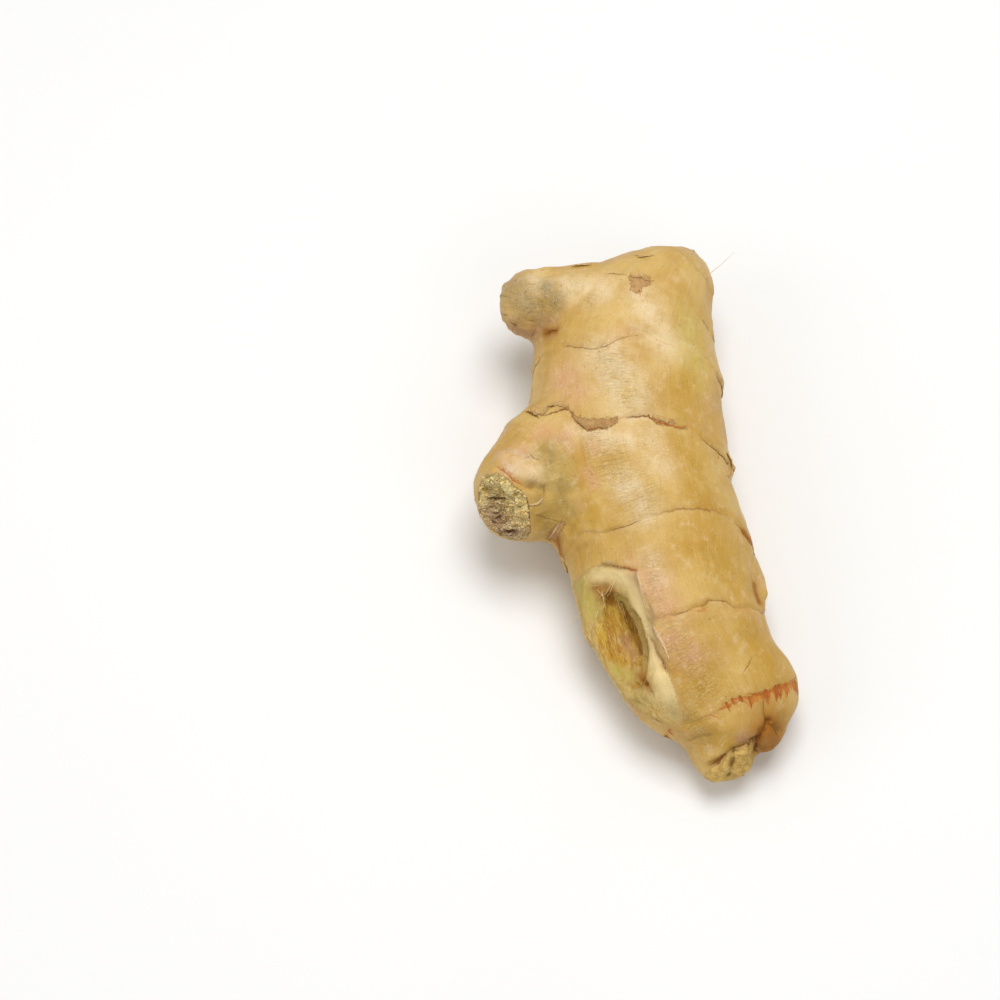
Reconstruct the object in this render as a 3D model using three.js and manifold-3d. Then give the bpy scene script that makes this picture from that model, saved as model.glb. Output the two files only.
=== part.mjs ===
// A hand of fresh ginger: one rhizome with a thick jointed body, a broken side knob, a short blunt
// finger, a torn hollow in its flank and a lobed growing end. It lies on its belly, growing end
// towards -Y.
// Millimetres, +Z up. The origin is on the resting surface, under the middle of the rhizome's outline.
import * as THREE from "three";
import { ImprovedNoise } from "three/addons/math/ImprovedNoise.js";
import { mergeVertices } from "three/addons/utils/BufferGeometryUtils.js";
import Module from "manifold-3d";

const wasm = await Module();
wasm.setup();

// Driving dimensions. Each limb is a row of stations: centre x, y, z, then half width and half
// thickness. capDepth is the length of its rounded start and end.
const BODY = {
  stations: [
    [12.2, 67.8, 20.8, 6.4, 8],
    [10.4, 63, 20.2, 9.2, 11.4],
    [5.8, 56.2, 19.6, 14, 15],
    [1.3, 48.5, 19, 18.4, 17.2],
    [-1.6, 40, 18.2, 21.5, 18.2],
    [-2.6, 32, 18, 22.1, 18.6],
    [-2.5, 24, 18, 22.1, 19],
    [-1.3, 13, 17.8, 22, 18.8],
    [0.8, 3.5, 17.4, 21.2, 18.2],
    [4.1, -7, 17, 20.9, 17.8],
    [5.2, -17, 16.4, 20.5, 16.6],
    [8.3, -26.5, 15.4, 19.2, 15.2],
    [12.8, -35.2, 13.8, 18.5, 13.6],
    [18.4, -43, 12, 15.2, 11.4],
    [21.2, -49.6, 10, 11.6, 9.6],
    [21.6, -53.8, 9.2, 9.6, 8.4],
  ],
  around: 46,
  capDepth: [9, 6],
  seed: 3,
  // Joints between the segments: distance from the start, lean across the width, and lip height.
  joints: [
    { at: 6.5, lean: 0.5, lip: 0.6 },
    { at: 18.5, lean: -0.6, lip: 0.6 },
    { at: 37.5, lean: 0.6, lip: 0.7 },
    { at: 59, lean: 5, lip: 1 },
    { at: 79, lean: 3.8, lip: 0.7 },
    { at: 100.5, lean: 4.6, lip: 0.7 },
    { at: 121.5, lean: 1.6, lip: 0.6 },
  ],
};
const KNOB = {
  stations: [
    [-2, 14, 18, 15, 13],
    [-12, 12, 19, 16.8, 13.6],
    [-20, 9.2, 20.2, 16.2, 13.4],
    [-26.5, 5, 21.6, 12.6, 12],
    [-32, 1.2, 23, 10.2, 10.4],
    [-36, -1, 24, 8.2, 8.4],
  ],
  around: 28,
  capDepth: [5, 6.5],
  seed: 11,
  joints: [{ at: 23.5, lean: 1.2, lip: 0.7 }],
};
const FINGER = {
  stations: [
    [0, 48.5, 22, 8, 8],
    [-9, 51.2, 23.4, 9, 8.8],
    [-18, 51.8, 24.2, 8.4, 8.2],
    [-26, 51.4, 24.2, 7.2, 7.2],
    [-32.3, 51.4, 23.6, 5.8, 6.2],
  ],
  around: 24,
  capDepth: [4, 6],
  seed: 17,
  joints: [{ at: 29, lean: 0.5, lip: 0.35 }],
};
// Lobes of the growing end, and the small buds along the rhizome's sides.
const LEFT_LOBE = {
  stations: [
    [16.4, -46, 9.5, 7.6, 7],
    [17.8, -51.4, 8.8, 7.3, 7.6],
    [18.2, -56, 7.6, 6.3, 6.6],
    [18.5, -60, 6.6, 5, 5.2],
  ],
  around: 20,
  capDepth: [4, 4.2],
  seed: 23,
  joints: [],
};
const RIGHT_LOBE = {
  stations: [
    [23.5, -33, 12, 7, 8],
    [26.6, -38.5, 11, 7, 7.8],
    [28.8, -43, 10, 6, 6.8],
    [29.9, -46.6, 9, 4.4, 5.6],
  ],
  around: 18,
  capDepth: [4, 4],
  seed: 29,
  joints: [],
};
const POCKET_BUD = {
  stations: [
    [26, -42, 9, 4, 4.4],
    [28.6, -47.6, 8.5, 3.8, 4.4],
    [30, -51.6, 7.8, 2.9, 3.4],
  ],
  around: 14,
  capDepth: [3, 3],
  seed: 31,
  joints: [],
};
const SIDE_BUD = {
  stations: [
    [22, -7, 15.5, 3, 3],
    [24.3, -12.5, 15.5, 3.8, 3.6],
    [25.6, -17.6, 15, 3.4, 3.3],
    [26.4, -21, 14.4, 1.8, 2],
  ],
  around: 14,
  capDepth: [2, 3],
  seed: 37,
  joints: [],
};
const BODY_LIMBS = [KNOB, FINGER, LEFT_LOBE, RIGHT_LOBE];
const SMALL_BUDS = [POCKET_BUD, SIDE_BUD];

// Torn places: where each lies, the way it runs, the way it faces, and its half width, half length
// and half depth.
const HOLLOW = {
  at: [-7.2, -32.6, 25.8],
  runs: [0.32, -0.9, -0.29],
  faces: [-0.66, -0.36, 0.66],
  half: [12.5, 17.5, 7.5],
};
const CAVITY = {
  at: [-7.2, -33, 23.2],
  runs: [0.32, -0.9, -0.29],
  faces: [-0.75, -0.36, 0.55],
  half: [6.4, 13, 9.5],
};
const KNOB_SCAR = {
  at: [-34, -3.4, 29.2],
  runs: [0.2, 0.6, 0.77],
  faces: [-0.75, -0.42, 0.52],
  half: [8, 9, 5],
};
const END_SCAR = {
  at: [13.6, 71.4, 18.6],
  runs: [1, 0, 0],
  faces: [0.34, 0.9, -0.25],
  half: [8, 8, 6.4],
};
const TORN = [HOLLOW, CAVITY, KNOB_SCAR, END_SCAR];
// Sleeping buds, small domes laid on the flanks in the same way.
const EYES = [
  { at: [19.6, 13, 17], runs: [0, 1, 0], faces: [1, 0, 0.1], half: [2.6, 3.4, 2] },
  { at: [-22.6, 36, 15], runs: [0, 1, 0], faces: [-1, 0, -0.1], half: [2.4, 3.2, 1.8] },
  { at: [14.6, 52, 12.5], runs: [0, 1, 0], faces: [0.9, 0.3, -0.3], half: [2.6, 3, 2] },
];

const ROW_STEP = 2.8; // spacing of the rows of skin between joints
const LIP_ROWS = [-1.3, -0.35, 0.35, 1.5]; // rows on either side of a joint's lip
const LIP_CLEAR = 1.1; // other rows keep this far from those
const CAP_TURNS = [0.32, 0.62, 0.92, 1.25]; // where the rows of a rounded end lie on its arc
const WAVE = 0.7; // how far a joint's line wanders along the limb
const BLEND = 8; // reach of the fillet where limbs meet
const FULLNESS = 0.7; // how much of that fillet is filled in
const CALM = 4; // the joints and lumps fade out this close to another limb
const LUMPS = [
  { size: 17, height: 0.9 },
  { size: 6.5, height: 0.35 },
];
const PLACED_SIDES = 24; // sides of the ellipsoids that tear flesh away or raise a bud
const ROUGH = 1.4; // how uneven they are
const GRAIN = 4.5; // size of their bumps
const UP = new THREE.Vector3(0, 0, 1);
const noise = new ImprovedNoise();

// The spine of a limb, by distance along it: its centre, frame and half sizes at each point.
function spineOf({ stations, capDepth }) {
  const line = new THREE.CatmullRomCurve3(stations.map(([x, y, z]) => new THREE.Vector3(x, y, z)));
  const sizes = new THREE.CatmullRomCurve3(
    stations.map(([, , , width, thickness]) => new THREE.Vector3(width, thickness, 0)),
    false,
    "catmullrom",
  );
  const length = line.getLength();
  const capAt = (s) => {
    const [start, end] = capDepth;
    const left = Math.min(1, s / start);
    const right = Math.min(1, (length - s) / end);
    return Math.sqrt(1 - (1 - left) ** 2.4) * Math.sqrt(1 - (1 - right) ** 2.4);
  };
  const at = (s) => {
    const t = line.getUtoTmapping(THREE.MathUtils.clamp(s / length, 0, 1));
    const along = line.getTangent(t);
    const side = UP.clone().cross(along).normalize();
    const half = sizes.getPoint(t).multiplyScalar(capAt(THREE.MathUtils.clamp(s, 0, length)));
    const up = along.clone().cross(side);
    return { centre: line.getPoint(t), along, side, up, width: half.x, thickness: half.y };
  };
  return { length, at };
}

// Distances of the rows of skin: close together round the ends, then even, with a joint's own rows.
function rowsOf({ joints, capDepth }, length) {
  const [start, end] = capDepth;
  const lipRows = joints.flatMap(({ at }) => LIP_ROWS.map((offset) => at + offset));
  const plainRows = CAP_TURNS.flatMap((turn) => {
    const share = 1 - Math.cos(turn);
    return [start * share, length - end * share];
  });
  const stops = [start, ...joints.map(({ at }) => at).filter((at) => at > start), length - end];
  for (let i = 1; i < stops.length; i++) {
    const gap = stops[i] - stops[i - 1];
    const count = Math.max(1, Math.round(gap / ROW_STEP));
    for (let k = 0; k <= count; k++) plainRows.push(stops[i - 1] + (gap * k) / count);
  }
  plainRows.sort((a, b) => a - b);
  const kept = plainRows.filter((s, i) => {
    const crowded = lipRows.some((lip) => Math.abs(lip - s) < LIP_CLEAR);
    return !crowded && (i === 0 || s - plainRows[i - 1] > 0.01);
  });
  return [0, ...kept, ...lipRows, length].sort((a, b) => a - b);
}

// How far a joint's line moves along the limb at an angle round it.
function jointShift({ lean, at }, angle) {
  return lean * Math.cos(angle) + WAVE * (Math.sin(3 * angle + at) + 0.5 * Math.sin(7 * angle + 2 * at));
}

// Height of the skin over the plain section: a lip that rises to each joint and drops past it.
function jointRelief(joints, s) {
  let height = 0;
  for (const { at, lip } of joints) {
    const past = s - at;
    height += past < 0 ? lip * Math.exp(past / 2.2) : -0.3 * lip * Math.exp(-past / 1.6);
  }
  return height;
}

function lumpAt(point, seed) {
  let height = 0;
  for (const lump of LUMPS) {
    const { x, y, z } = point.clone().divideScalar(lump.size);
    height += lump.height * noise.noise(x + seed, y, z);
  }
  return height;
}

// About how far a point is outside a limb; negative inside it.
function outside(spine, point) {
  const steps = 60;
  let nearest = Infinity;
  for (let i = 0; i <= steps; i++) {
    const s = (spine.length * i) / steps;
    const { centre, along, side, up, width, thickness } = spine.at(s);
    const offset = point.clone().sub(centre);
    const reach = Math.max(0.01, Math.min((width + thickness) / 2, s, spine.length - s));
    const share = Math.hypot(
      offset.dot(side) / Math.max(width, 0.01),
      offset.dot(up) / Math.max(thickness, 0.01),
      offset.dot(along) / reach,
    );
    nearest = Math.min(nearest, offset.length() * (1 - 1 / Math.max(share, 0.01)));
  }
  return nearest;
}

// How far the skin swells near a neighbouring limb, so that the two meet in a fillet.
function fillet(distance) {
  return (FULLNESS * Math.max(0, BLEND - Math.abs(distance)) ** 2) / (4 * BLEND);
}

// One limb as a closed skin: a sphere's rows and columns laid along the spine.
function limbGeometry(limb, neighbours) {
  const spine = spineOf(limb);
  const rows = rowsOf(limb, spine.length);
  const geometry = new THREE.SphereGeometry(1, limb.around, rows.length - 1);
  const position = geometry.getAttribute("position");
  for (let row = 0; row < rows.length; row++) {
    for (let column = 0; column <= limb.around; column++) {
      const angle = Math.PI - (2 * Math.PI * (column % limb.around)) / limb.around;
      const pole = row === 0 || row === rows.length - 1;
      const shift = pole ? 0 : limb.joints.reduce((sum, joint) => {
        const past = Math.abs(rows[row] - joint.at);
        return sum + jointShift(joint, angle) * Math.exp(-((past / 5) ** 2));
      }, 0);
      const s = THREE.MathUtils.clamp(rows[row] + shift, 0, spine.length);
      const { centre, side, up, width, thickness } = spine.at(s);
      const outward = side.clone().multiplyScalar(Math.cos(angle) * width);
      outward.addScaledVector(up, Math.sin(angle) * thickness);
      const point = centre.clone().add(outward);
      if (!pole) {
        const reach = outward.length();
        const gaps = neighbours.map((other) => outside(other, point));
        const calm = Math.min(1, reach / 6, ...gaps.map((gap) => Math.abs(gap) / CALM));
        const relief = jointRelief(limb.joints, rows[row]) + lumpAt(point, limb.seed);
        const swell = gaps.reduce((sum, gap) => sum + fillet(gap), relief * calm);
        point.addScaledVector(outward.normalize(), swell);
      }
      position.setXYZ(row * (limb.around + 1) + column, point.x, point.y, point.z);
    }
  }
  return geometry;
}

// A rough ellipsoid laid in its place, to tear flesh away or to raise a bud.
function placedGeometry({ at, runs, faces, half }, seed) {
  const out = new THREE.Vector3(...faces).normalize();
  const across = new THREE.Vector3(...runs).cross(out).normalize();
  const along = out.clone().cross(across);
  const geometry = new THREE.SphereGeometry(1, PLACED_SIDES, PLACED_SIDES / 2);
  geometry.scale(...half);
  geometry.applyMatrix4(new THREE.Matrix4().makeBasis(across, along, out).setPosition(...at));
  const position = geometry.getAttribute("position");
  const middle = new THREE.Vector3(...at);
  for (let i = 0; i < position.count; i++) {
    const point = new THREE.Vector3().fromBufferAttribute(position, i);
    const rough = ROUGH * noise.noise(point.x / GRAIN + seed, point.y / GRAIN, point.z / GRAIN);
    point.addScaledVector(point.clone().sub(middle).normalize(), rough);
    position.setXYZ(i, point.x, point.y, point.z);
  }
  return geometry;
}

function solidFrom(geometry) {
  const bare = geometry.clone();
  bare.deleteAttribute("normal");
  bare.deleteAttribute("uv");
  const merged = mergeVertices(bare, 1e-4);
  const mesh = new wasm.Mesh({
    numProp: 3,
    vertProperties: new Float32Array(merged.getAttribute("position").array),
    triVerts: new Uint32Array(merged.index.array),
  });
  return new wasm.Manifold(mesh);
}

function geometryFrom(solid) {
  const { vertProperties, triVerts } = solid.getMesh();
  const geometry = new THREE.BufferGeometry();
  geometry.setAttribute("position", new THREE.BufferAttribute(vertProperties, 3));
  geometry.setIndex(new THREE.BufferAttribute(triVerts, 1));
  geometry.computeVertexNormals();
  return geometry;
}

// The whole rhizome: limbs grown together, flesh torn away, and the belly settled flat where it rests.
function rhizomeGeometry() {
  const body = spineOf(BODY);
  const limbSpines = BODY_LIMBS.map(spineOf);
  let solid = solidFrom(limbGeometry(BODY, limbSpines));
  for (const limb of BODY_LIMBS) solid = solid.add(solidFrom(limbGeometry(limb, [body])));
  for (const bud of SMALL_BUDS) solid = solid.add(solidFrom(limbGeometry(bud, [])));
  for (const [i, eye] of EYES.entries()) solid = solid.add(solidFrom(placedGeometry(eye, i)));
  for (const [i, torn] of TORN.entries()) solid = solid.subtract(solidFrom(placedGeometry(torn, i)));
  const surface = new THREE.BoxGeometry(400, 400, 100).translate(0, 0, -50);
  solid = solid.subtract(solidFrom(surface));
  const geometry = geometryFrom(solid);
  geometry.computeBoundingBox();
  const middle = geometry.boundingBox.getCenter(new THREE.Vector3());
  return geometry.translate(-middle.x, -middle.y, 0);
}

const skin = new THREE.MeshStandardMaterial({ color: 0xd9b77f, roughness: 0.62, metalness: 0 });
const rhizome = new THREE.Mesh(rhizomeGeometry(), skin);
rhizome.name = "rhizome";

const ginger = new THREE.Group();
ginger.name = "ginger_root";
ginger.add(rhizome);

export default ginger;
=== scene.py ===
"""The visual model of a hand of fresh ginger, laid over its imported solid: the skin with its joint
lines, torn hollow and broken ends, the papery scales left along the joints, the fibres and the crumbs."""
import itertools
import math

import bmesh
import bpy
import numpy as np
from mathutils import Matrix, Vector
from mathutils.bvhtree import BVHTree
from mathutils.kdtree import KDTree


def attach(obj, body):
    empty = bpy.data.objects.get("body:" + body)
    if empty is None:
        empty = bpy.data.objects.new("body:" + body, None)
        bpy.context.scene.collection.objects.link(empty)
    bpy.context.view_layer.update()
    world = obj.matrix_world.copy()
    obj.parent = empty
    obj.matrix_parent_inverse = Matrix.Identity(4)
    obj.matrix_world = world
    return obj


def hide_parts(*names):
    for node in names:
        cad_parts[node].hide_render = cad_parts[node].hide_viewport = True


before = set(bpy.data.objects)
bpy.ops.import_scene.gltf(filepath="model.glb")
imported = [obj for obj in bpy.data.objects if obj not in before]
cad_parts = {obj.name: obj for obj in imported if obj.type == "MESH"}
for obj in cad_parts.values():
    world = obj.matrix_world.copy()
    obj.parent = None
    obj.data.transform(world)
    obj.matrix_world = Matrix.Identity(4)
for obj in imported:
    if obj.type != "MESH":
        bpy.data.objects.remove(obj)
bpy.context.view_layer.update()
NODE = "rhizome"
BODY_NAME = "root"

# The shape is worked out in millimetres, and a finished mesh is in metres.
MM = 0.001
UP = np.array([0.0, 0.0, 1.0])
CENTRED = np.array([1.213, -3.792, 0.0])  # the part was moved this far to stand on the frame's middle
VOXEL = 0.498  # the width of the skin's quads
SKIN_SMOOTHING = 34  # rounds, on whole skin
RIM_SMOOTHING = 12  # rounds, everywhere
LIMB_ROWS = 420  # steps along a limb's middle line
BATCH = 20000  # points that are placed on a limb at a time
OUTSIDE = -9.0  # well outside an outline
FAR = 50.0  # from any joint
JOINT_REACH = 8
HOLLOW_REACH = 34  # from the middle of the hollow, where its outline counts
KNOB_REACH = 18  # from the middle of the knob's scar
TOES_START = -50  # the growing end lies beyond this along Y

# The camera looks down on the rhizome from its growing end.
ELEVATION = math.radians(65)
DISTANCE = 750.0
PICTURE = 1000  # pixels across the photograph
FOCAL_PIXELS = 3300
SENSOR = 36.0
AIMED_POINT = CENTRED + [0, 0, 19]
AIMED_PIXEL = (640, 515)  # where that point lies in the photograph
RIGHT = np.array([1.0, 0.0, 0.0])
RISE = np.array([0.0, math.sin(ELEVATION), math.cos(ELEVATION)])
BACK = np.array([0.0, -math.cos(ELEVATION), math.sin(ELEVATION)])
PIXELS_PER_MM = FOCAL_PIXELS / DISTANCE
TOWARDS_TIP = np.array([0.0, -1.0, 0.0])  # the way the rhizome grows
CAMERA_POINT = (
    AIMED_POINT
    - RIGHT * (AIMED_PIXEL[0] - PICTURE / 2) / PIXELS_PER_MM
    + RISE * (AIMED_PIXEL[1] - PICTURE / 2) / PIXELS_PER_MM
    + BACK * DISTANCE
)


def joint(at, lean, lip, width=0.25, strength=0.5, red=0.0, fringe=0.0, step=1.0, seen=()):
    """A joint line: its distance along the limb, lean and lip on the solid; the line's half width, how dark
    and how red it is, how far its red fringe reaches and how high its edge stands; and where it is seen to
    run, as degrees round the limb and the distance along it there."""
    return {
        "at": at, "lean": lean, "lip": lip, "width": width, "strength": strength, "red": red,
        "fringe": fringe, "step": step, "seen": seen,
    }


# Limbs: stations (centre x, y, z, half width, half thickness) and the joints between their segments.
BODY = {
    "stations": [
        (12.2, 67.8, 20.8, 6.4, 8), (10.4, 63, 20.2, 9.2, 11.4), (5.8, 56.2, 19.6, 14, 15),
        (1.3, 48.5, 19, 18.4, 17.2), (-1.6, 40, 18.2, 21.5, 18.2), (-2.6, 32, 18, 22.1, 18.6),
        (-2.5, 24, 18, 22.1, 19), (-1.3, 13, 17.8, 22, 18.8), (0.8, 3.5, 17.4, 21.2, 18.2),
        (4.1, -7, 17, 20.9, 17.8), (5.2, -17, 16.4, 20.5, 16.6), (8.3, -26.5, 15.4, 19.2, 15.2),
        (12.8, -35.2, 13.8, 18.5, 13.6), (18.4, -43, 12, 15.2, 11.4), (21.2, -49.6, 10, 11.6, 9.6),
        (21.6, -53.8, 9.2, 9.6, 8.4),
    ],
    "joints": [
        joint(6.5, 0.5, 0.6, 0.2, 0.3, step=0.6),
        joint(18.5, -0.6, 0.6, 0.14, 0.3, step=0.5, seen=((122, 20.4), (106, 19.2), (89, 17.9), (66, 17))),
        joint(37.5, 0.6, 0.7, 0.16, 0.6, step=0.7, seen=(
            (157, 36.4), (128, 36.5), (113, 38), (104, 38), (98, 35.7), (86, 33.7), (72, 34.1), (60, 34.9), (43, 36),
        )),
        joint(59, 5, 1, 0.22, 0.9, step=1.2, seen=(
            (153, 48.2), (141, 50.6), (135, 50.4), (128, 50.3), (125, 52.9), (118, 56.2), (105, 56.8), (98, 54.9),
            (81, 55.2), (77, 57.1), (64, 58.4), (54, 58.5), (44, 62.1), (22, 65.5),
        )),
        joint(79, 3.8, 0.7, 0.18, 0.7, seen=(
            (146, 74.6), (140, 75.2), (128, 78.4), (113, 79.3), (101, 78.6), (89, 78.3), (70, 78.6), (50, 79.2),
            (36, 80), (20, 82),
        )),
        joint(100.5, 4.6, 0.7, 0.18, 0.65, red=0.3, seen=(
            (114, 98.6), (95, 99.5), (76, 100), (72, 99.2), (60, 100.6), (55, 102.6), (40, 103.6), (23, 105.9),
        )),
        joint(121.5, 1.6, 0.6, 0.3, 0.6, red=0.9, fringe=2.6, step=0.7, seen=(
            (122, 120.6), (108, 121), (102, 119.8), (90, 120), (82, 120.7), (61, 121.2), (40, 121.5), (17, 121.6),
        )),
    ],
}
KNOB = {
    "stations": [
        (-2, 14, 18, 15, 13), (-12, 12, 19, 16.8, 13.6), (-20, 9.2, 20.2, 16.2, 13.4),
        (-26.5, 5, 21.6, 12.6, 12), (-32, 1.2, 23, 10.2, 10.4), (-36, -1, 24, 8.2, 8.4),
    ],
    "joints": [joint(23.5, 1.2, 0.7, 0.2, 0.12, step=0.5)],
}
FINGER = {
    "stations": [
        (0, 48.5, 22, 8, 8), (-9, 51.2, 23.4, 9, 8.8), (-18, 51.8, 24.2, 8.4, 8.2),
        (-26, 51.4, 24.2, 7.2, 7.2), (-32.3, 51.4, 23.6, 5.8, 6.2),
    ],
    "joints": [joint(29, 0.5, 0.35, 0.2, 0.12, step=0.3)],
}
LEFT_LOBE = {
    "stations": [
        (16.4, -46, 9.5, 7.6, 7), (17.8, -51.4, 8.8, 7.3, 7.6), (18.2, -56, 7.6, 6.3, 6.6),
        (18.5, -60, 6.6, 5, 5.2),
    ],
    "joints": [],
}
RIGHT_LOBE = {
    "stations": [
        (23.5, -33, 12, 7, 8), (26.6, -38.5, 11, 7, 7.8), (28.8, -43, 10, 6, 6.8), (29.9, -46.6, 9, 4.4, 5.6),
    ],
    "joints": [],
}

# Torn places: where each lies, how it runs, which way it faces, and its half width, length and depth.
HOLLOW = {
    "at": (-7.2, -32.6, 25.8), "runs": (0.32, -0.9, -0.29), "faces": (-0.66, -0.36, 0.66), "half": (12.5, 17.5, 7.5),
}
CAVITY = {
    "at": (-7.2, -33, 23.2), "runs": (0.32, -0.9, -0.29), "faces": (-0.75, -0.36, 0.55), "half": (6.4, 13, 9.5),
}
KNOB_SCAR = {"at": (-34, -3.4, 29.2), "runs": (0.2, 0.6, 0.77), "faces": (-0.75, -0.42, 0.52), "half": (8, 9, 5)}
END_SCAR = {"at": (13.6, 71.4, 18.6), "runs": (1, 0, 0), "faces": (0.34, 0.9, -0.25), "half": (8, 8, 6.4)}
TORN_PLACES = {"hollow": HOLLOW, "cavity": CAVITY, "knob_scar": KNOB_SCAR, "end_scar": END_SCAR}

# Marks on the skin are given as pixels of the photograph, and lie where those pixels meet the skin.
# Torn papery patches, by their outlines.
TORN_PATCHES = [
    [(570, 409), (574, 415), (584, 418.5), (598, 419), (613, 417.5), (618, 417), (616, 424), (606, 428.5),
    (596, 430), (588, 431), (577, 423), (571, 415)],
    [(647, 416), (655, 417.5), (664, 418.5), (674, 421), (676, 425), (668, 426), (658, 422.5), (651, 419)],
    [(547, 540), (551, 531), (556, 526), (562, 521), (565, 523), (561, 532), (556, 540)],
    [(628, 275), (640, 276.5), (653, 281), (649, 284.5), (642, 288), (639.5, 294), (631, 290.5), (631, 283)],
]
# Thin dark lines and red ones: pixels, half width in millimetres and strength. The dark lines are cracks, and
# painted shadow under the curled flake at the left joint and under the pocket bud.
CRACK_AND_SHADOW_LINES = [
    ([(712, 766), (719, 762.5), (727, 755)], 0.55, 0.9),
    ([(727, 755), (733, 750), (742, 747.5), (750, 744)], 0.14, 0.8),
    ([(750, 745), (753, 741), (755, 737)], 0.5, 0.85), ([(765, 699), (765.3, 712), (766, 721)], 0.09, 0.55),
    # Painted shadow under the pocket bud.
    ([(757, 750), (763, 752.5), (771, 754)], 0.6, 0.95),
    ([(757, 752), (757.5, 742), (761, 732), (767, 723)], 0.32, 0.95),
    ([(767, 723), (773, 726), (777, 735)], 0.3, 0.8), ([(736, 753), (735, 762), (731, 772)], 0.16, 0.5),
    ([(743, 758), (748, 765)], 0.12, 0.4), ([(660, 478), (661, 492), (659.5, 506)], 0.05, 0.22),
    ([(544.5, 486), (544, 493)], 0.2, 0.5), ([(533, 513.5), (545, 518), (558, 521.5)], 0.1, 0.6),
    ([(531, 455), (534, 459), (540, 460)], 0.14, 0.6), ([(526, 461), (529, 459)], 0.2, 0.5),
    ([(560, 523), (556, 531), (550, 539.5)], 0.1, 0.5), ([(607.5, 274), (616, 273.5), (624, 274)], 0.12, 0.8),
    ([(636, 255.5), (645, 256), (653, 255)], 0.2, 0.7), ([(545, 334), (550, 331.5), (556, 330)], 0.32, 0.9),
    ([(547, 329.5), (551, 332)], 0.2, 0.7), ([(526, 284), (537, 284)], 0.08, 0.6),
    ([(500, 296), (508, 296.5)], 0.2, 0.6), ([(502, 314), (507, 315)], 0.22, 0.6),
    ([(511, 323), (517, 327)], 0.28, 0.8), ([(530, 321), (534, 321.5)], 0.2, 0.5),
    ([(531, 337), (534, 333)], 0.2, 0.5), ([(718, 346), (719, 352)], 0.2, 0.7),
    ([(528, 507), (537, 506.5), (543, 503)], 0.12, 0.35), ([(702, 320), (705, 324)], 0.14, 0.6),
    ([(648.5, 638), (654, 650), (661, 661), (665, 671)], 0.35, 0.4), ([(637, 683), (641, 684.5)], 0.25, 0.5),
    ([(645, 679), (648, 686)], 0.25, 0.5), ([(651, 690), (653, 693)], 0.25, 0.5),
    ([(636, 701), (641, 704)], 0.22, 0.5), ([(655, 720), (661, 722)], 0.28, 0.5),
    ([(488, 500), (495, 498), (504, 499)], 0.32, 0.95), ([(490, 507), (499, 506)], 0.2, 0.75),
    ([(500, 510), (508, 509)], 0.2, 0.75), ([(496, 518), (501, 516)], 0.25, 0.8),
    ([(491, 521), (496, 523)], 0.2, 0.7), ([(500, 523), (507, 521)], 0.22, 0.75),
    ([(497, 530), (501, 529)], 0.2, 0.7), ([(504, 533.5), (512, 532)], 0.42, 0.95),
    ([(518, 507.5), (522, 506)], 0.35, 0.9), ([(518, 491.5), (521, 490)], 0.25, 0.7),
    ([(523, 520), (527, 524)], 0.2, 0.6),
    # Painted shadow under the curled flake.
    ([(512, 416), (518, 411.5), (526, 411), (533, 414.5), (538, 417)], 0.34, 0.9),
    ([(550, 408), (555, 404.5)], 0.16, 0.7), ([(746, 630), (750, 634)], 0.12, 0.3),
    ([(744, 672), (749, 664), (752, 658)], 0.12, 0.5),
]
RED_LINES = [
    ([(604, 564.5), (612, 567), (620, 569), (636, 570)], 0.46, 1.0),
    ([(742, 531), (747, 538), (753, 546)], 0.4, 0.8), ([(704, 716), (711, 715), (719, 718)], 0.22, 0.7),
    ([(719, 709.5), (728, 706), (739, 701)], 0.4, 0.95), ([(741, 699), (746, 702), (749, 706)], 0.3, 0.6),
    ([(697, 611), (706, 610)], 0.35, 0.6), ([(701, 603), (706, 609)], 0.12, 0.5),
    ([(499, 468), (506, 471.5), (512, 478), (519, 482)], 0.5, 0.9),
    ([(648, 417), (656, 421), (666, 424.5), (679, 427.5), (687, 426.5)], 0.3, 0.9),
    ([(749, 694), (762, 694), (780, 688), (796, 677)], 0.5, 0.85), ([(639, 289), (640, 294)], 0.25, 0.9),
    ([(590, 472), (594, 476)], 0.3, 0.35), ([(589, 482), (594, 484)], 0.3, 0.3),
]
# Patches of tint: pixels and half width. They fade out over their own width.
DULL_ZONES = [([(493, 512), (504, 530), (514, 534)], 3.4)]
# Painted shade: a dark tint under the finger and in the pockets by the toes.
DUSKY_SHADE_ZONES = [
    ([(514, 328), (530, 334), (550, 324)], 3.0), ([(766, 738), (768, 750)], 2.0), ([(742, 740), (752, 738)], 1.6),
]
ROUGH_ZONES = [([(503, 283), (511, 289)], 2.3), ([(484, 480), (483, 492)], 1.0)]
# Painted highlight: pearly white on the bulge of the knob's dome.
DOME_HIGHLIGHT_ZONES = [([(511, 468), (521, 465), (531, 472)], 1.7), ([(505, 458), (516, 455)], 1.0)]
WRINKLED_ZONES = [
    ([(604, 358), (630, 396)], 5.5), ([(590, 440), (640, 500)], 6.0), ([(650, 560), (655, 600)], 3.0),
    ([(655, 628), (690, 660), (702, 690)], 6.5), ([(684, 705), (704, 740), (735, 756)], 4.5),
    ([(575, 285), (590, 300)], 3.0),
]
PINK_ZONES = [
    ([(562, 376), (572, 392)], 4.5), ([(545, 434), (566, 440)], 3.4), ([(642, 578), (668, 612)], 4.2),
    ([(588, 472), (593, 484)], 1.5), ([(628, 652), (632, 657)], 1.1), ([(502, 454), (515, 460)], 2.0),
    ([(672, 640), (690, 655)], 4.0), ([(590, 440), (596, 448)], 2.0), ([(485, 520), (500, 532)], 2.4),
    ([(742, 736), (752, 734)], 1.4), ([(510, 462), (520, 452)], 2.4), ([(624, 640), (634, 655)], 1.5),
]
GREEN_ZONES = [
    ([(688, 320), (696, 375)], 4.5), ([(555, 450), (562, 495)], 3.4), ([(612, 666), (634, 678)], 2.2),
]
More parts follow.
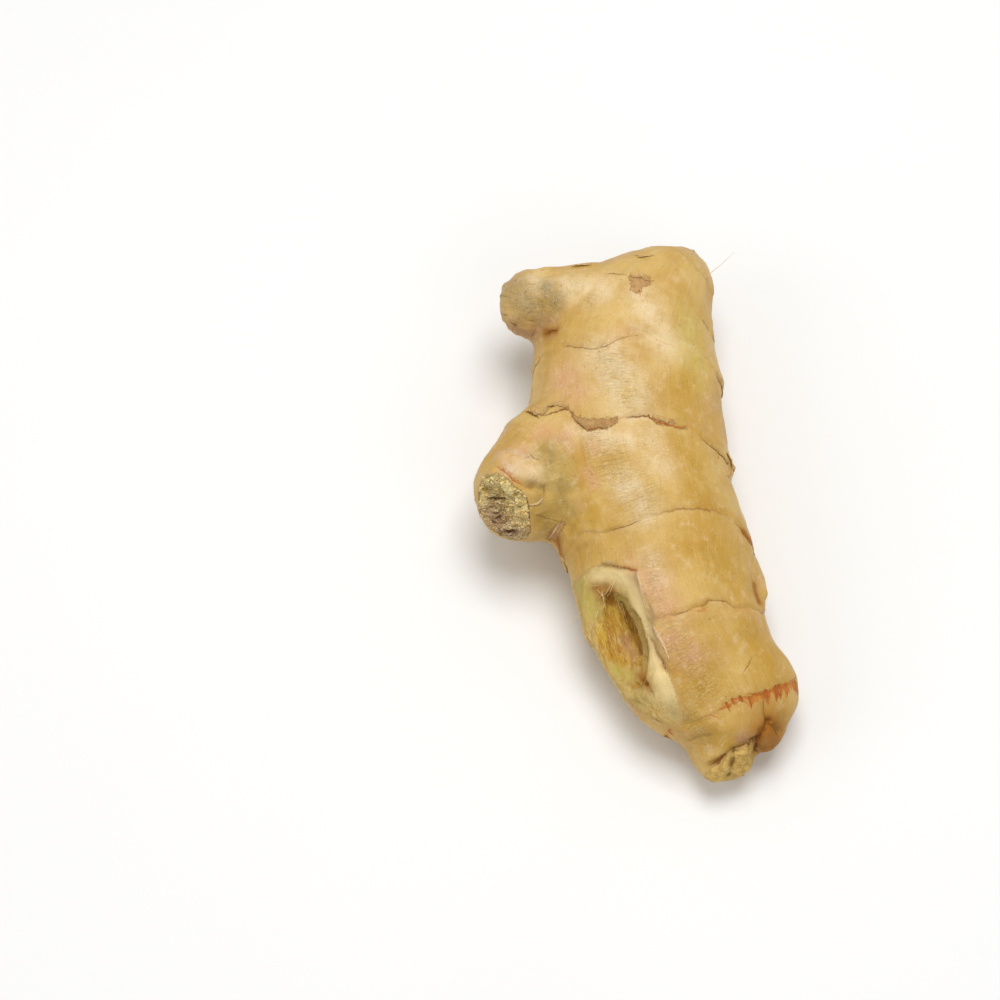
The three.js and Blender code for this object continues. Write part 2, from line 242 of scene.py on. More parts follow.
# Pale zones: pale skin, and painted highlights on the lit tops of the segments, on the knob's dome and along the
# ridges by the hollow.
PALE_AND_HIGHLIGHT_ZONES = [
    ([(605, 356), (632, 400)], 6.5), ([(576, 434), (630, 440)], 3.0), ([(626, 482), (646, 512)], 3.8),
    ([(737, 636), (736, 640)], 0.7), ([(742, 648), (741, 653)], 0.6), ([(512, 456), (527, 459), (538, 471)], 3.0),
    ([(509, 468), (520, 470), (530, 474)], 2.2), ([(514, 471), (524, 466)], 1.6), ([(500, 300), (503, 312)], 1.5),
    ([(640, 300), (668, 345)], 5.0), ([(482, 515), (490, 532)], 1.6), ([(565, 285), (600, 290)], 4.5),
    ([(650, 560), (660, 580)], 3.0), ([(650, 440), (664, 466)], 4.0), ([(530, 278), (545, 290)], 2.6),
    ([(638, 574), (643, 586), (647, 600), (652, 614)], 0.9), ([(655, 626), (662, 640), (669, 658)], 0.8),
]
# Gold zones: yellower skin, and painted shade down the left flank and over the knob.
GOLD_ZONES = [
    ([(665, 640), (700, 690)], 8.0), ([(750, 630), (770, 665)], 7.0), ([(690, 545), (735, 575)], 7.0),
    ([(580, 448), (583, 485), (594, 520)], 2.6), ([(555, 510), (572, 530)], 4.0), ([(534, 505), (548, 530)], 4.0),
    ([(572, 550), (584, 572)], 5.0), ([(680, 440), (706, 500)], 6.0), ([(690, 720), (735, 745)], 6.0),
    ([(546, 340), (540, 400)], 3.6), ([(668, 400), (690, 380)], 4.0), ([(775, 700), (785, 725)], 4.0),
    ([(510, 430), (495, 460)], 3.0), ([(610, 640), (604, 620)], 3.0), ([(763, 570), (767, 588)], 1.2),
]
GREY_ZONES = [
    ([(512, 286), (522, 298), (530, 308)], 4.2), ([(546, 288), (556, 298)], 2.6), ([(664, 690), (674, 712)], 2.2),
]
# Olive zones: greenish skin, and painted shade in the valley between the knob and the body.
OLIVE_ZONES = [
    ([(550, 452), (560, 478), (566, 508)], 3.6), ([(540, 500), (548, 528)], 3.0), ([(532, 482), (544, 490)], 1.5),
    ([(543, 303), (556, 308)], 2.0), ([(571, 592), (574, 606)], 1.0),
]
# Brown zones: the pocket bud's own brown and some dark marks, and painted shade under the pocket bud, in crevices
# and in the hollow.
BROWN_ZONES = [
    ([(769, 728), (767, 748)], 5.0), ([(762, 728), (761, 748)], 3.0), ([(760, 751), (770, 753)], 1.8),
    ([(556, 538), (560, 552)], 1.8), ([(743, 532), (748, 539), (752, 546)], 0.9), ([(546, 333), (556, 331)], 1.2),
    ([(598, 588), (604, 596)], 1.6), ([(604, 586), (612, 590)], 1.2), ([(652, 640), (660, 658), (664, 668)], 0.7),
    ([(755, 584), (759, 602)], 0.9), ([(640, 676), (648, 686)], 1.2), ([(712, 764), (728, 755)], 0.8),
]
FRESH_ZONES = [
    ([(582, 587), (588, 600), (592, 612)], 2.3), ([(616, 668), (630, 678)], 1.6), ([(620, 598), (627, 607)], 1.0),
]
# The bevel by the hollow, whose flesh is painted brighter than its own colour, as painted light against the shade on
# it.
BEVEL_LINES = [
    ([(600, 576), (620, 577), (633, 583), (640, 602), (646, 627), (654, 652), (661, 674), (668, 694)], 2.4),
]
# Deep holes in the cavity: sunk into the flesh, and painted dark there as painted shade.
DEEP_ZONES = [
    ([(609.5, 595), (611, 603)], 0.9), ([(621, 603), (625, 612), (629, 620)], 0.5),
    ([(626, 617), (630, 625), (635, 632)], 0.65), ([(638, 638), (641, 654)], 0.35),
    ([(643, 679), (646, 684)], 0.4),
]
ZONES = {
    "pink": PINK_ZONES, "green": GREEN_ZONES, "pale": PALE_AND_HIGHLIGHT_ZONES, "gold": GOLD_ZONES, "grey": GREY_ZONES,
    "brown": BROWN_ZONES, "fresh": FRESH_ZONES, "olive": OLIVE_ZONES, "dull": DULL_ZONES, "dusky": DUSKY_SHADE_ZONES,
    "rough": ROUGH_ZONES, "wrinkled": WRINKLED_ZONES, "pearl": DOME_HIGHLIGHT_ZONES,
}
# Raised ridges and sunk creases: pixels, half width and height in millimetres.
RIDGES = [
    ([(637, 571), (643, 590), (648, 608), (650, 617)], 0.7, 0.7),
    ([(655, 626), (661, 641), (668, 657), (671, 668)], 0.8, 0.7), ([(493, 478), (503, 480), (512, 489)], 1.6, 1.4),
    ([(507, 459), (522, 464), (534, 474)], 2.3, 1.7),
    ([(484, 532), (498, 541.5), (516, 543), (531, 541)], 0.7, 0.5),
    ([(759, 552), (763, 566), (766, 582), (763, 594), (761, 603)], 1.5, 1.0), ([(622, 637), (630, 652)], 1.6, 0.8),
    ([(764, 730), (769, 736), (768, 746)], 2.4, 1.1), ([(708, 776), (718, 778)], 1.6, 0.8),
    ([(742, 762), (746, 768)], 1.6, 0.6),
]
RIDGE_LINES = [
    ([(637.5, 573), (642, 584.5), (645, 597.7), (648, 608), (649, 618)], 0.3, 1.0),
    ([(655.5, 626), (659, 634), (664, 645), (669, 659)], 0.28, 0.9),
    ([(640, 580), (643, 592), (644, 600)], 0.2, 0.6),
    ([(481, 508), (484, 525), (492, 538), (505, 542), (520, 542), (532, 538)], 0.3, 0.8),
    ([(479, 496), (481, 482), (489, 472)], 0.25, 0.6), ([(560, 523), (555, 531), (549, 539)], 0.25, 0.8),
    ([(528, 505), (536, 504.5), (541, 501), (543.5, 497)], 0.2, 1.0),
]
CREASES = [
    ([(764, 697), (765.5, 712), (768, 722)], 0.9, 0.6),
    ([(768, 722), (760, 730), (757, 742), (756, 752)], 0.8, 1.0), ([(771, 722), (779, 732), (781, 745)], 0.8, 0.9),
    ([(711, 767), (720, 762), (728, 755), (733, 750.5), (743, 747), (755, 740)], 0.9, 0.9),
    ([(736, 753), (733, 765), (729, 778)], 1.0, 1.2),
    ([(505, 448), (516, 446), (528, 449), (537, 455), (547, 461), (551, 475), (547, 492)], 0.7, 0.3),
    ([(753, 562), (754, 584), (758, 603)], 0.7, 0.6),
    ([(499, 469), (506, 472), (513, 479), (521, 484), (532, 487)], 0.8, 1.4),
    ([(648, 636), (654, 650), (662, 663), (665, 672)], 0.8, 0.5), ([(604, 567), (620, 570), (635, 571)], 0.7, 0.9),
    ([(489, 499), (503, 498.5)], 0.6, 1.0), ([(504, 533), (513, 532)], 0.6, 0.9),
    ([(484, 482), (485, 490)], 0.6, 0.25), ([(517, 507), (521, 508)], 0.7, 0.6),
    ([(637, 683), (641, 685)], 0.6, 0.35), ([(645, 679), (648, 686)], 0.6, 0.35),
    ([(540, 490), (543, 487)], 0.6, 0.4), ([(572, 405), (571, 412)], 0.6, 0.3),
]
# Where joint lines can hardly be seen.
FAINT_ZONES = [
    ([(646, 337), (655, 338)], 1.5), ([(682, 348), (700, 362), (716, 384)], 5.0),
    ([(652, 733), (680, 726), (700, 719), (712, 715)], 4.6), ([(735, 706), (744, 704)], 1.2),
    ([(656, 286), (690, 302), (714, 330)], 5.0), ([(560, 280), (600, 276)], 5.0), ([(498, 280), (506, 312)], 5.0),
    ([(652, 523), (700, 522), (716, 532)], 2.6), ([(560, 547), (572, 540)], 3.0), ([(548, 350), (560, 346)], 1.6),
    ([(690, 428), (700, 436)], 1.2), ([(744, 596), (760, 606)], 2.0), ([(650, 621), (668, 618)], 1.5),
]
# Outlines of the broken ends, the hollow and the cavity in it, as pixels.
SCAR_OUTLINE = [
    (484, 477), (490, 474), (498, 473), (507, 477), (514, 484), (520, 490), (527, 496), (529, 506), (530, 518),
    (531, 531), (526, 538.5), (517, 540.5), (503, 540.5), (493, 538), (485, 528), (480, 515), (479, 501),
    (480, 487),
]
TOE_OUTLINE = [
    (711, 768), (722, 762), (729, 756), (734, 752), (744, 749), (755, 742), (759, 753), (752, 774), (736, 778),
    (728, 786), (712, 786), (704, 776),
]
WOUND_OUTLINE = [
    (574, 581), (584, 573), (598, 567.5), (607, 567), (622, 570), (636, 571), (642, 585), (646, 600), (648, 620),
    (652, 640), (659, 655), (666, 668), (672, 682), (677, 695), (680, 710), (680, 724), (673, 726), (658, 721.5),
    (637, 711), (626, 701), (614, 691), (606, 680), (598, 667), (593, 655), (591, 643), (587, 631), (580, 616),
    (574, 604), (571, 590),
]
CAVITY_OUTLINE = [
    (610, 591), (618, 601), (626, 614), (634, 626), (639, 638), (642, 654), (643, 668), (634, 664), (622, 668),
    (610, 662), (600, 652), (595, 640), (596, 622), (603, 606),
]
# Dry scales: the line of pixels where each is rooted, how far it reaches and how high its edge stands.
SCALES = [
    ([(511, 413), (516, 409), (523, 407), (531, 408), (538, 413), (544, 414)], 1.4, 0.9),
    ([(541, 416), (546, 411), (548, 406), (557, 404.5), (568, 407)], 0.8, 0.6),
    ([(652, 417), (660, 419), (668, 423.5)], 0.5, 0.4), ([(727, 453), (730, 464), (728, 477)], 1.2, 1.0),
    ([(630, 275), (640, 276), (650, 279.5)], 0.9, 0.4), ([(572, 267), (580, 265.5), (591, 265)], 0.8, 0.6),
    ([(637, 257), (645, 257), (652, 256)], 0.6, 0.5),
]
# Scales on the sides that the photograph hides: the body's joint, and the degrees round it.
HIDDEN_SCALES = [
    (0, 150, 235), (1, 175, 240), (1, -60, 10), (2, 165, 230), (2, -70, 20), (2, 250, 285), (3, 200, 250),
    (3, -80, -5), (4, 180, 240), (4, -75, 5), (5, 200, 250), (5, -60, 0), (6, 190, 235), (6, -70, -20),
]
HIDDEN_REACH, HIDDEN_LIFT = 2.0, 0.4
SCALE_THICKNESS = 0.14
# Loose fibres: the pixels of root and tip, and how far the tip rises towards the camera.
FIBRES = [
    ((581, 612), (566, 627), 1), ((598, 612), (583, 648), 2.5), ((602, 592), (605, 611), 1.5),
    ((616, 579), (606, 597), 1.5), ((622, 604), (627, 622), 1), ((618, 601), (622, 618), 0.8),
    ((608, 630), (612, 655), 0.8), ((604, 640), (610, 661), 0.6), ((614, 634), (617, 651), 0.8),
    ((598, 590), (604, 598), 1), ((705, 278), (734, 252), 2), ((600, 646), (606, 660), 0.7),
    ((590, 587), (600, 584), 1), ((605, 577), (614, 583), 0.8), ((620, 690), (640, 688), 0.5),
    ((628, 694), (652, 690), 0.5), ((640, 690), (655, 700), 0.5), ((612, 584), (600, 600), 1.8),
]


class GradientNoise:
    """Smooth noise in three dimensions, from about -1 to 1, that is the same in every run."""

    def __init__(self, seed):
        random = np.random.default_rng(seed)
        self.order = np.tile(random.permutation(256), 2)
        slopes = random.normal(size=(256, 3))
        self.slopes = slopes / np.linalg.norm(slopes, axis=1)[:, None]

    def __call__(self, points):
        cell = np.floor(points).astype(int)
        part = points - cell
        fade = part**3 * (part * (part * 6 - 15) + 10)
        total = np.zeros(len(points))
        for corner in itertools.product((0, 1), repeat=3):
            x, y, z = ((cell + corner) & 255).T
            slope = self.slopes[self.order[self.order[self.order[x] + y] + z]]
            weight = np.prod(np.where(corner, fade, 1 - fade), axis=1)
            total += weight * ((part - corner) * slope).sum(axis=1)
        return 1.6 * total


NOISES = [GradientNoise(seed) for seed in range(7)]


def ramp(value, low, high):
    """0 below low, 1 above high, and smooth between them."""
    share = np.clip((value - low) / (high - low), 0, 1)
    return share * share * (3 - 2 * share)


def through(knots, values, at):
    """A smooth curve through values given at knots, read at other distances."""
    slopes = np.gradient(values, knots, axis=0)
    first = np.clip(np.searchsorted(knots, at) - 1, 0, len(knots) - 2)
    gap = (knots[first + 1] - knots[first])[:, None]
    part = (at - knots[first])[:, None] / gap
    left = values[first] * (1 + 2 * part) * (1 - part) ** 2 + gap * slopes[first] * part * (1 - part) ** 2
    right = values[first + 1] * (3 - 2 * part) * part**2 - gap * slopes[first + 1] * (1 - part) * part**2
    return left + right


def unit(vectors):
    return vectors / np.maximum(np.linalg.norm(vectors, axis=-1, keepdims=True), 1e-9)


def plain_line(joint, angle):
    """Distance along the limb of a joint's line on the solid, at angles round it."""
    at = joint["at"]
    return at + joint["lean"] * np.cos(angle) + 0.7 * (np.sin(3 * angle + at) + 0.5 * np.sin(7 * angle + 2 * at))


def solid_lip(joint, run, angle):
    """Height of the rounded lip that the solid has at a joint."""
    past = run - plain_line(joint, angle)
    before = np.exp(np.minimum(past, 0) / 2.2) * ramp(past, 1.2, -1.2)
    after = np.exp(-np.maximum(past, 0) / 1.6) * ramp(past, -1.2, 1.2)
    return joint["lip"] * (before - 0.3 * after)


class Limb:
    """A limb's middle line, with its frame and half sizes all along it."""

    def __init__(self, shape):
        stations = np.array(shape["stations"], float)
        stations[:, :3] += CENTRED
        steps = np.linalg.norm(np.diff(stations[:, :3], axis=0), axis=1)
        knots = np.concatenate([[0], np.cumsum(steps)])
        rows = through(knots, stations, np.linspace(0, knots[-1], LIMB_ROWS))
        self.centre = rows[:, :3]
        self.half = rows[:, 3:]
        steps = np.linalg.norm(np.diff(self.centre, axis=0), axis=1)
        self.run = np.concatenate([[0], np.cumsum(steps)])
        self.along = unit(np.gradient(self.centre, self.run, axis=0))
        self.side = unit(np.cross(UP, self.along))
        self.up = np.cross(self.along, self.side)
        self.joints = shape["joints"]

    def locate(self, points):
        """Where points lie: distance along the limb, angle round it, and height over its plain surface."""
        nearest = np.empty(len(points), int)
        for start in range(0, len(points), BATCH):
            part = points[start : start + BATCH]
            squared = (self.centre**2).sum(axis=1) - 2 * part @ self.centre.T
            nearest[start : start + BATCH] = squared.argmin(axis=1)
        offset = points - self.centre[nearest]
        past = (offset * self.along[nearest]).sum(axis=1)
        half = self.half[nearest]
        across = (offset * self.side[nearest]).sum(axis=1)
        rise = (offset * self.up[nearest]).sum(axis=1)
        angle = np.arctan2(rise / half[:, 1], across / half[:, 0])
        share = np.hypot(across / half[:, 0], rise / half[:, 1])
        height = np.hypot(across, rise) * (1 - 1 / np.maximum(share, 0.01))
        beyond = np.where((nearest == 0) | (nearest == len(self.run) - 1), np.abs(past), 0)
        return self.run[nearest] + past, angle, np.maximum(height, beyond)

    def line(self, joint, angle):
        """Distance along the limb of a joint's line at angles round it, with its frayed edge."""
        hidden = np.radians(np.arange(0, 360, 15))
        knots = list(zip(np.degrees(hidden), plain_line(joint, hidden)))
        if joint["seen"]:
            low, high = (pick(degrees for degrees, _ in joint["seen"]) for pick in (min, max))
            knots = [(degrees, run) for degrees, run in knots if high + 15 < degrees < low + 345]
            knots += joint["seen"]
        degrees, runs = np.array(sorted(knots)).T
        line = np.interp(np.degrees(angle), degrees, runs, period=360)
        ring = np.stack([np.cos(angle) * 9, np.sin(angle) * 9, np.full_like(angle, joint["at"])], axis=-1)
        return line + 0.3 * NOISES[0](ring * 0.7) + 0.2 * NOISES[1](ring * 2.1)

    def grain(self, run, angle):
        """Coordinates with the limb straightened, so that the grain runs along the second of them."""
        girth = float(self.half.max())
        return np.stack([np.cos(angle) * girth, run, np.sin(angle) * girth], axis=-1)


LIMBS = [Limb(shape) for shape in (BODY, KNOB, FINGER, LEFT_LOBE, RIGHT_LOBE)]
BODY_NUMBER, FINGER_NUMBER = 0, 2


def torn_basis(torn):
    """The torn place's own axes as rows: across it, along it and out of it."""
    out = unit(np.array(torn["faces"], float))
    across = unit(np.cross(torn["runs"], out))
    return np.array([across, np.cross(out, across), out])


def within(torn, points, reach):
    """Which points lie within a reach of a torn place's middle."""
    return np.linalg.norm(points - torn["at"] - CENTRED, axis=1) < reach


class Surface:
    """A triangle mesh that can be asked where a ray meets it and which face is nearest."""

    def __init__(self, points, triangles):
        self.points = points
        self.tree = BVHTree.FromPolygons(points.tolist(), triangles.tolist())

    def hit(self, start, way):
        place, normal, _, _ = self.tree.ray_cast(Vector(start), Vector(way))
        return None if place is None else (np.array(place), np.array(normal))

    def nearest_faces(self, points):
        return np.array([self.tree.find_nearest(Vector(p))[2] for p in points])

    def nearest(self, point):
        place, normal, _, _ = self.tree.find_nearest(Vector(point))
        return np.array(place), np.array(normal)

    def under_pixel(self, pixel):
        """The point of the surface that the photograph shows at a pixel."""
        way = -BACK * FOCAL_PIXELS + RIGHT * (pixel[0] - PICTURE / 2) + RISE * (PICTURE / 2 - pixel[1])
        found = self.hit(CAMERA_POINT, unit(way))
        return None if found is None else found[0]

    def under_pixels(self, pixels):
        """The points under a line of pixels, without those that miss the surface."""
        return [place for place in map(self.under_pixel, pixels) if place is not None]


def triangles_of(mesh):
    """A mesh's corner points in millimetres and its triangles."""
    points = np.empty(len(mesh.vertices) * 3)
    mesh.vertices.foreach_get("co", points)
    mesh.calc_loop_triangles()
    corners = np.empty(len(mesh.loop_triangles) * 3, int)
    mesh.loop_triangles.foreach_get("vertices", corners)
    return points.reshape(-1, 3) / MM, corners.reshape(-1, 3)


def distance_to_line(points, line):
    """Distance from each point to a line of points joined up."""
    best = np.full(len(points), np.inf)
    for start, end in zip(line[:-1], line[1:]):
        way = end - start
        share = np.clip(((points - start) @ way) / max(way @ way, 1e-9), 0, 1)
        best = np.minimum(best, np.linalg.norm(points - start - share[:, None] * way, axis=1))
    return best


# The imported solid, merged, and which of its faces are torn.
def merged_copy(node):
    mesh = node.data.copy()
    shape = bmesh.new()
    shape.from_mesh(mesh)
    bmesh.ops.remove_doubles(shape, verts=shape.verts, dist=0.01 * MM)
    shape.to_mesh(mesh)
    shape.free()
    return mesh


def torn_faces(points, triangles, torn):
    """The faces that lie on a torn place: close to its ellipsoid, and facing its middle."""
    local = (points - torn["at"] - CENTRED) @ torn_basis(torn).T / torn["half"]
    share = np.linalg.norm(local, axis=1)
    outside = (share - 1) * np.linalg.norm(points - torn["at"] - CENTRED, axis=1) / np.maximum(share, 0.01)
    a, b, c = (points[triangles[:, i]] for i in range(3))
    facing = unit(np.cross(b - a, c - a))
    slope = unit((local / torn["half"]) @ torn_basis(torn))
    turned = (facing * slope[triangles].mean(axis=1)).sum(axis=1)
    return (np.abs(outside[triangles]).max(axis=1) < 1.3) & (turned < -0.45)


def rim_of(points, triangles, torn):
    """Points along the edge between torn faces and whole skin."""
    edges = {}
    for face, marked in zip(triangles, torn):
        for start, end in ((0, 1), (1, 2), (2, 0)):
            edges.setdefault(frozenset((face[start], face[end])), []).append(marked)
    rim = [tuple(edge) for edge, marks in edges.items() if any(marks) and not all(marks)]
    shares = np.linspace(0, 1, 8)[:, None]
    return np.concatenate([points[a] * (1 - shares) + points[b] * shares for a, b in rim])


def distance_to_cloud(points, cloud, reach=9.0):
    """Distance from each point to the nearest of a cloud of points, up to a reach."""
    tree = KDTree(len(cloud))
    for index, place in enumerate(cloud):
        tree.insert(place, index)
    tree.balance()
    low, high = cloud.min(axis=0) - reach, cloud.max(axis=0) + reach
    near = ((points > low) & (points < high)).all(axis=1)
    distance = np.full(len(points), reach)
    distance[near] = [min(reach, tree.find(place)[2]) for place in points[near]]
    return distance


def fine_mesh(mesh):
    """The merged solid as an even mesh of small quads."""
    coarse = bpy.data.objects.new("coarse", mesh)
    bpy.context.scene.collection.objects.link(coarse)
    remesh = coarse.modifiers.new("even", "REMESH")
    remesh.mode = "VOXEL"
    remesh.voxel_size = VOXEL * MM
    evaluated = coarse.evaluated_get(bpy.context.evaluated_depsgraph_get())
    fine = bpy.data.meshes.new_from_object(evaluated)
    bpy.data.objects.remove(coarse)
    return fine


def smoothed(points, edges, weight, rounds):
    """The points, each moved part of the way to the middle of its neighbours a number of times."""
    start, end = edges.T
    count = np.bincount(np.concatenate([start, end]), minlength=len(points))
    for _ in range(rounds):
        middle = np.empty_like(points)
        for axis in range(3):
            total = np.bincount(start, points[end, axis], len(points))
            total += np.bincount(end, points[start, axis], len(points))
            middle[:, axis] = total / count
        points = points + 0.5 * weight[:, None] * (middle - points)
    return points


def halves(quads):
    """Each quad as two triangles."""
    return np.concatenate([quads[:, [0, 1, 2]], quads[:, [0, 2, 3]]])


def normals_of(points, quads):
    """Each point's outward direction."""
    a, b, c, d = (points[quads[:, i]] for i in range(4))
    across = np.cross(c - a, d - b)
    normal = np.empty_like(points)
    for axis in range(3):
        normal[:, axis] = sum(np.bincount(quads[:, i], across[:, axis], len(points)) for i in range(4))
    return unit(normal)


def marked(surface, points, marks):
    """How strongly marks colour each point. A mark fades out over its own width."""
    result = np.zeros(len(points))
    for pixels, radius in marks:
        line = surface.under_pixels(pixels)
        if len(line) > 1:
            result = np.maximum(result, np.exp(-((distance_to_line(points, line) / radius) ** 2)))
    return result


def line_marks(surface, points, normals, marks):
    """Thin lines on the skin: how far each point is to one side of the nearest line, in that line's half
    widths, and how strong the line is there. A line tapers towards its ends."""
    nearest = np.full(len(points), 3.0)
    side = np.full(len(points), 9.0)
    strength = np.zeros(len(points))
    for pixels, width, dark in marks:
        line = surface.under_pixels(pixels)
        if len(line) < 2:
            continue
        steps = np.linalg.norm(np.diff(line, axis=0), axis=1)
        runs = np.concatenate([[0], np.cumsum(steps)]) / steps.sum()
        for start, end, first, last in zip(line[:-1], line[1:], runs[:-1], runs[1:]):
            way = end - start
            share = np.clip(((points - start) @ way) / max(way @ way, 1e-9), 0, 1)
            offset = points - start - share[:, None] * way
            distance = np.linalg.norm(offset, axis=1)
            closer = distance < nearest
            run = first + share[closer] * (last - first)
            turned = (np.cross(way, offset[closer]) * normals[closer]).sum(axis=1)
            taper = 0.35 + 0.65 * np.sqrt(np.sin(np.pi * np.clip(run, 0, 1)).clip(0))
            nearest[closer] = distance[closer]
            side[closer] = np.where(turned < 0, -1, 1) * distance[closer] / (width * taper)
            strength[closer] = dark * ramp(distance[closer], width + 0.8, width + 0.35)
    return side, strength


def skin_shape():
    """The solid as a fine, smoothed mesh: the mesh, its points, edges and quads, and how far each point is
    inside each torn place."""
    solid = merged_copy(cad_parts[NODE])
    cad_points, cad_triangles = triangles_of(solid)
    cad = Surface(cad_points, cad_triangles)
    wounds = {name: torn_faces(cad_points, cad_triangles, torn) for name, torn in TORN_PLACES.items()}
    fine = fine_mesh(solid)
    count = len(fine.vertices)
    points = np.empty(count * 3)
    fine.vertices.foreach_get("co", points)
    points = points.reshape(-1, 3) / MM
    edges = np.empty(len(fine.edges) * 2, int)
    fine.edges.foreach_get("vertices", edges)
    edges = edges.reshape(-1, 2)
    quads = np.empty(len(fine.loops), int)
    fine.loops.foreach_get("vertex_index", quads)
    quads = quads.reshape(-1, 4)

    # Signed distance into each torn place, from its rim.
    nearest = cad.nearest_faces(points)
    into = {}
    for name, faces in wounds.items():
        distance = distance_to_cloud(points, rim_of(cad_points, cad_triangles, faces))
        into[name] = np.where(faces[nearest], distance, -distance)
    rim = np.min([np.abs(distance) for distance in into.values()], axis=0)
    points = smoothed(points, edges, np.ones(count), RIM_SMOOTHING)
    points = smoothed(points, edges, ramp(rim, 0.3, 3.5), SKIN_SMOOTHING)
    return fine, points, edges, quads, into


def limb_fields(points):
    """Where the points lie on each limb, which limb each belongs to, and its straightened grain."""
    places = [limb.locate(points) for limb in LIMBS]
    owner = np.array([np.abs(height) for _, _, height in places]).argmin(axis=0)
    grain = np.zeros_like(points)
    for index, (limb, (run, angle, _)) in enumerate(zip(LIMBS, places)):
        mine = owner == index
        grain[mine] = limb.grain(run[mine], angle[mine]) + [0, 0, 60 * index]
    return places, owner, grain


def joint_fields(places, owner):
    """For each point, how far past its nearest joint line it is, that joint's numbers, and how high the
    solid's own lips stand there."""
    count = len(owner)
    fields = {name: np.zeros(count) for name in ("width", "strength", "red", "fringe", "step")}
    past = np.full(count, FAR)
    lips = np.zeros(count)
    for index, (limb, (run, angle, height)) in enumerate(zip(LIMBS, places)):
        close = np.where(owner == index, 1.0, ramp(np.abs(height), 4.0, 2.0))
        for number, one in enumerate(limb.joints):
            distance = run - limb.line(one, angle)
            nearer = (np.abs(distance) < np.abs(past)) & (close > 0) & (np.abs(distance) < JOINT_REACH)
            past[nearer] = distance[nearer]
            ring = np.stack([np.cos(angle), np.sin(angle), np.full(count, number)], axis=-1)
            broken = 0.3 + 0.7 * ramp(NOISES[2](ring * 3.1 + 5 * index), -0.5, 0.3)
            for name in fields:
                fields[name][nearer] = one[name]
            fields["strength"][nearer] *= (broken * close)[nearer]
            fields["step"][nearer] *= close[nearer]
            lips += np.where(owner == index, solid_lip(one, run, angle), 0)
    fields["past"] = past
    return fields, lips


def pixels_of(points):
    """Where the photograph shows points, in its pixels."""
    offset = points - CAMERA_POINT
    depth = -(offset @ BACK)
    across = PICTURE / 2 + FOCAL_PIXELS * (offset @ RIGHT) / depth
    down = PICTURE / 2 - FOCAL_PIXELS * (offset @ RISE) / depth
    return np.stack([across, down], axis=1)


def inside_outline(points, outline):
    """How far points are inside an outline of pixels, in millimetres; negative outside it."""
    pixels = pixels_of(points)
    corners = np.array(outline + outline[:1], float)
    crossings = np.zeros(len(points), int)
    for (x0, y0), (x1, y1) in zip(corners[:-1], corners[1:]):
        spans = (pixels[:, 1] < y0) != (pixels[:, 1] < y1)
        reach = x0 + (pixels[:, 1] - y0) * (x1 - x0) / ((y1 - y0) or 1e-9)
        crossings += spans & (pixels[:, 0] < reach)
    distance = distance_to_line(pixels, corners) / PIXELS_PER_MM
    return np.where(crossings % 2 == 1, distance, -distance)


def settled(owner, torn, edges):
    """0 where the grain changes from one limb, or from skin to flesh, and 1 a little way off."""
    start, end = edges.T
    changes = (owner[start] != owner[end]) | (torn[start] != torn[end])
    calm = np.ones(len(owner))
    calm[edges[changes].ravel()] = 0
    near = edges[np.minimum(calm[start], calm[end]) == 0].ravel()
    calm[near] = np.minimum(calm[near], 0.5)
    return calm


def evened(height, edges, calm):
    """Heights smoothed over a narrow band where the grain changes, so that no step shows there."""
    start, end = edges.T
    size = len(height)
    count = np.bincount(np.concatenate([start, end]), minlength=size)
    band = 1 - calm
    for _ in range(8):
        around = (np.bincount(start, band[end], size) + np.bincount(end, band[start], size)) / count
        band = np.maximum(band, around)
    for _ in range(10):
        around = (np.bincount(start, height[end], size) + np.bincount(end, height[start], size)) / count
        height = height + 0.6 * band * (around - height)
    return height


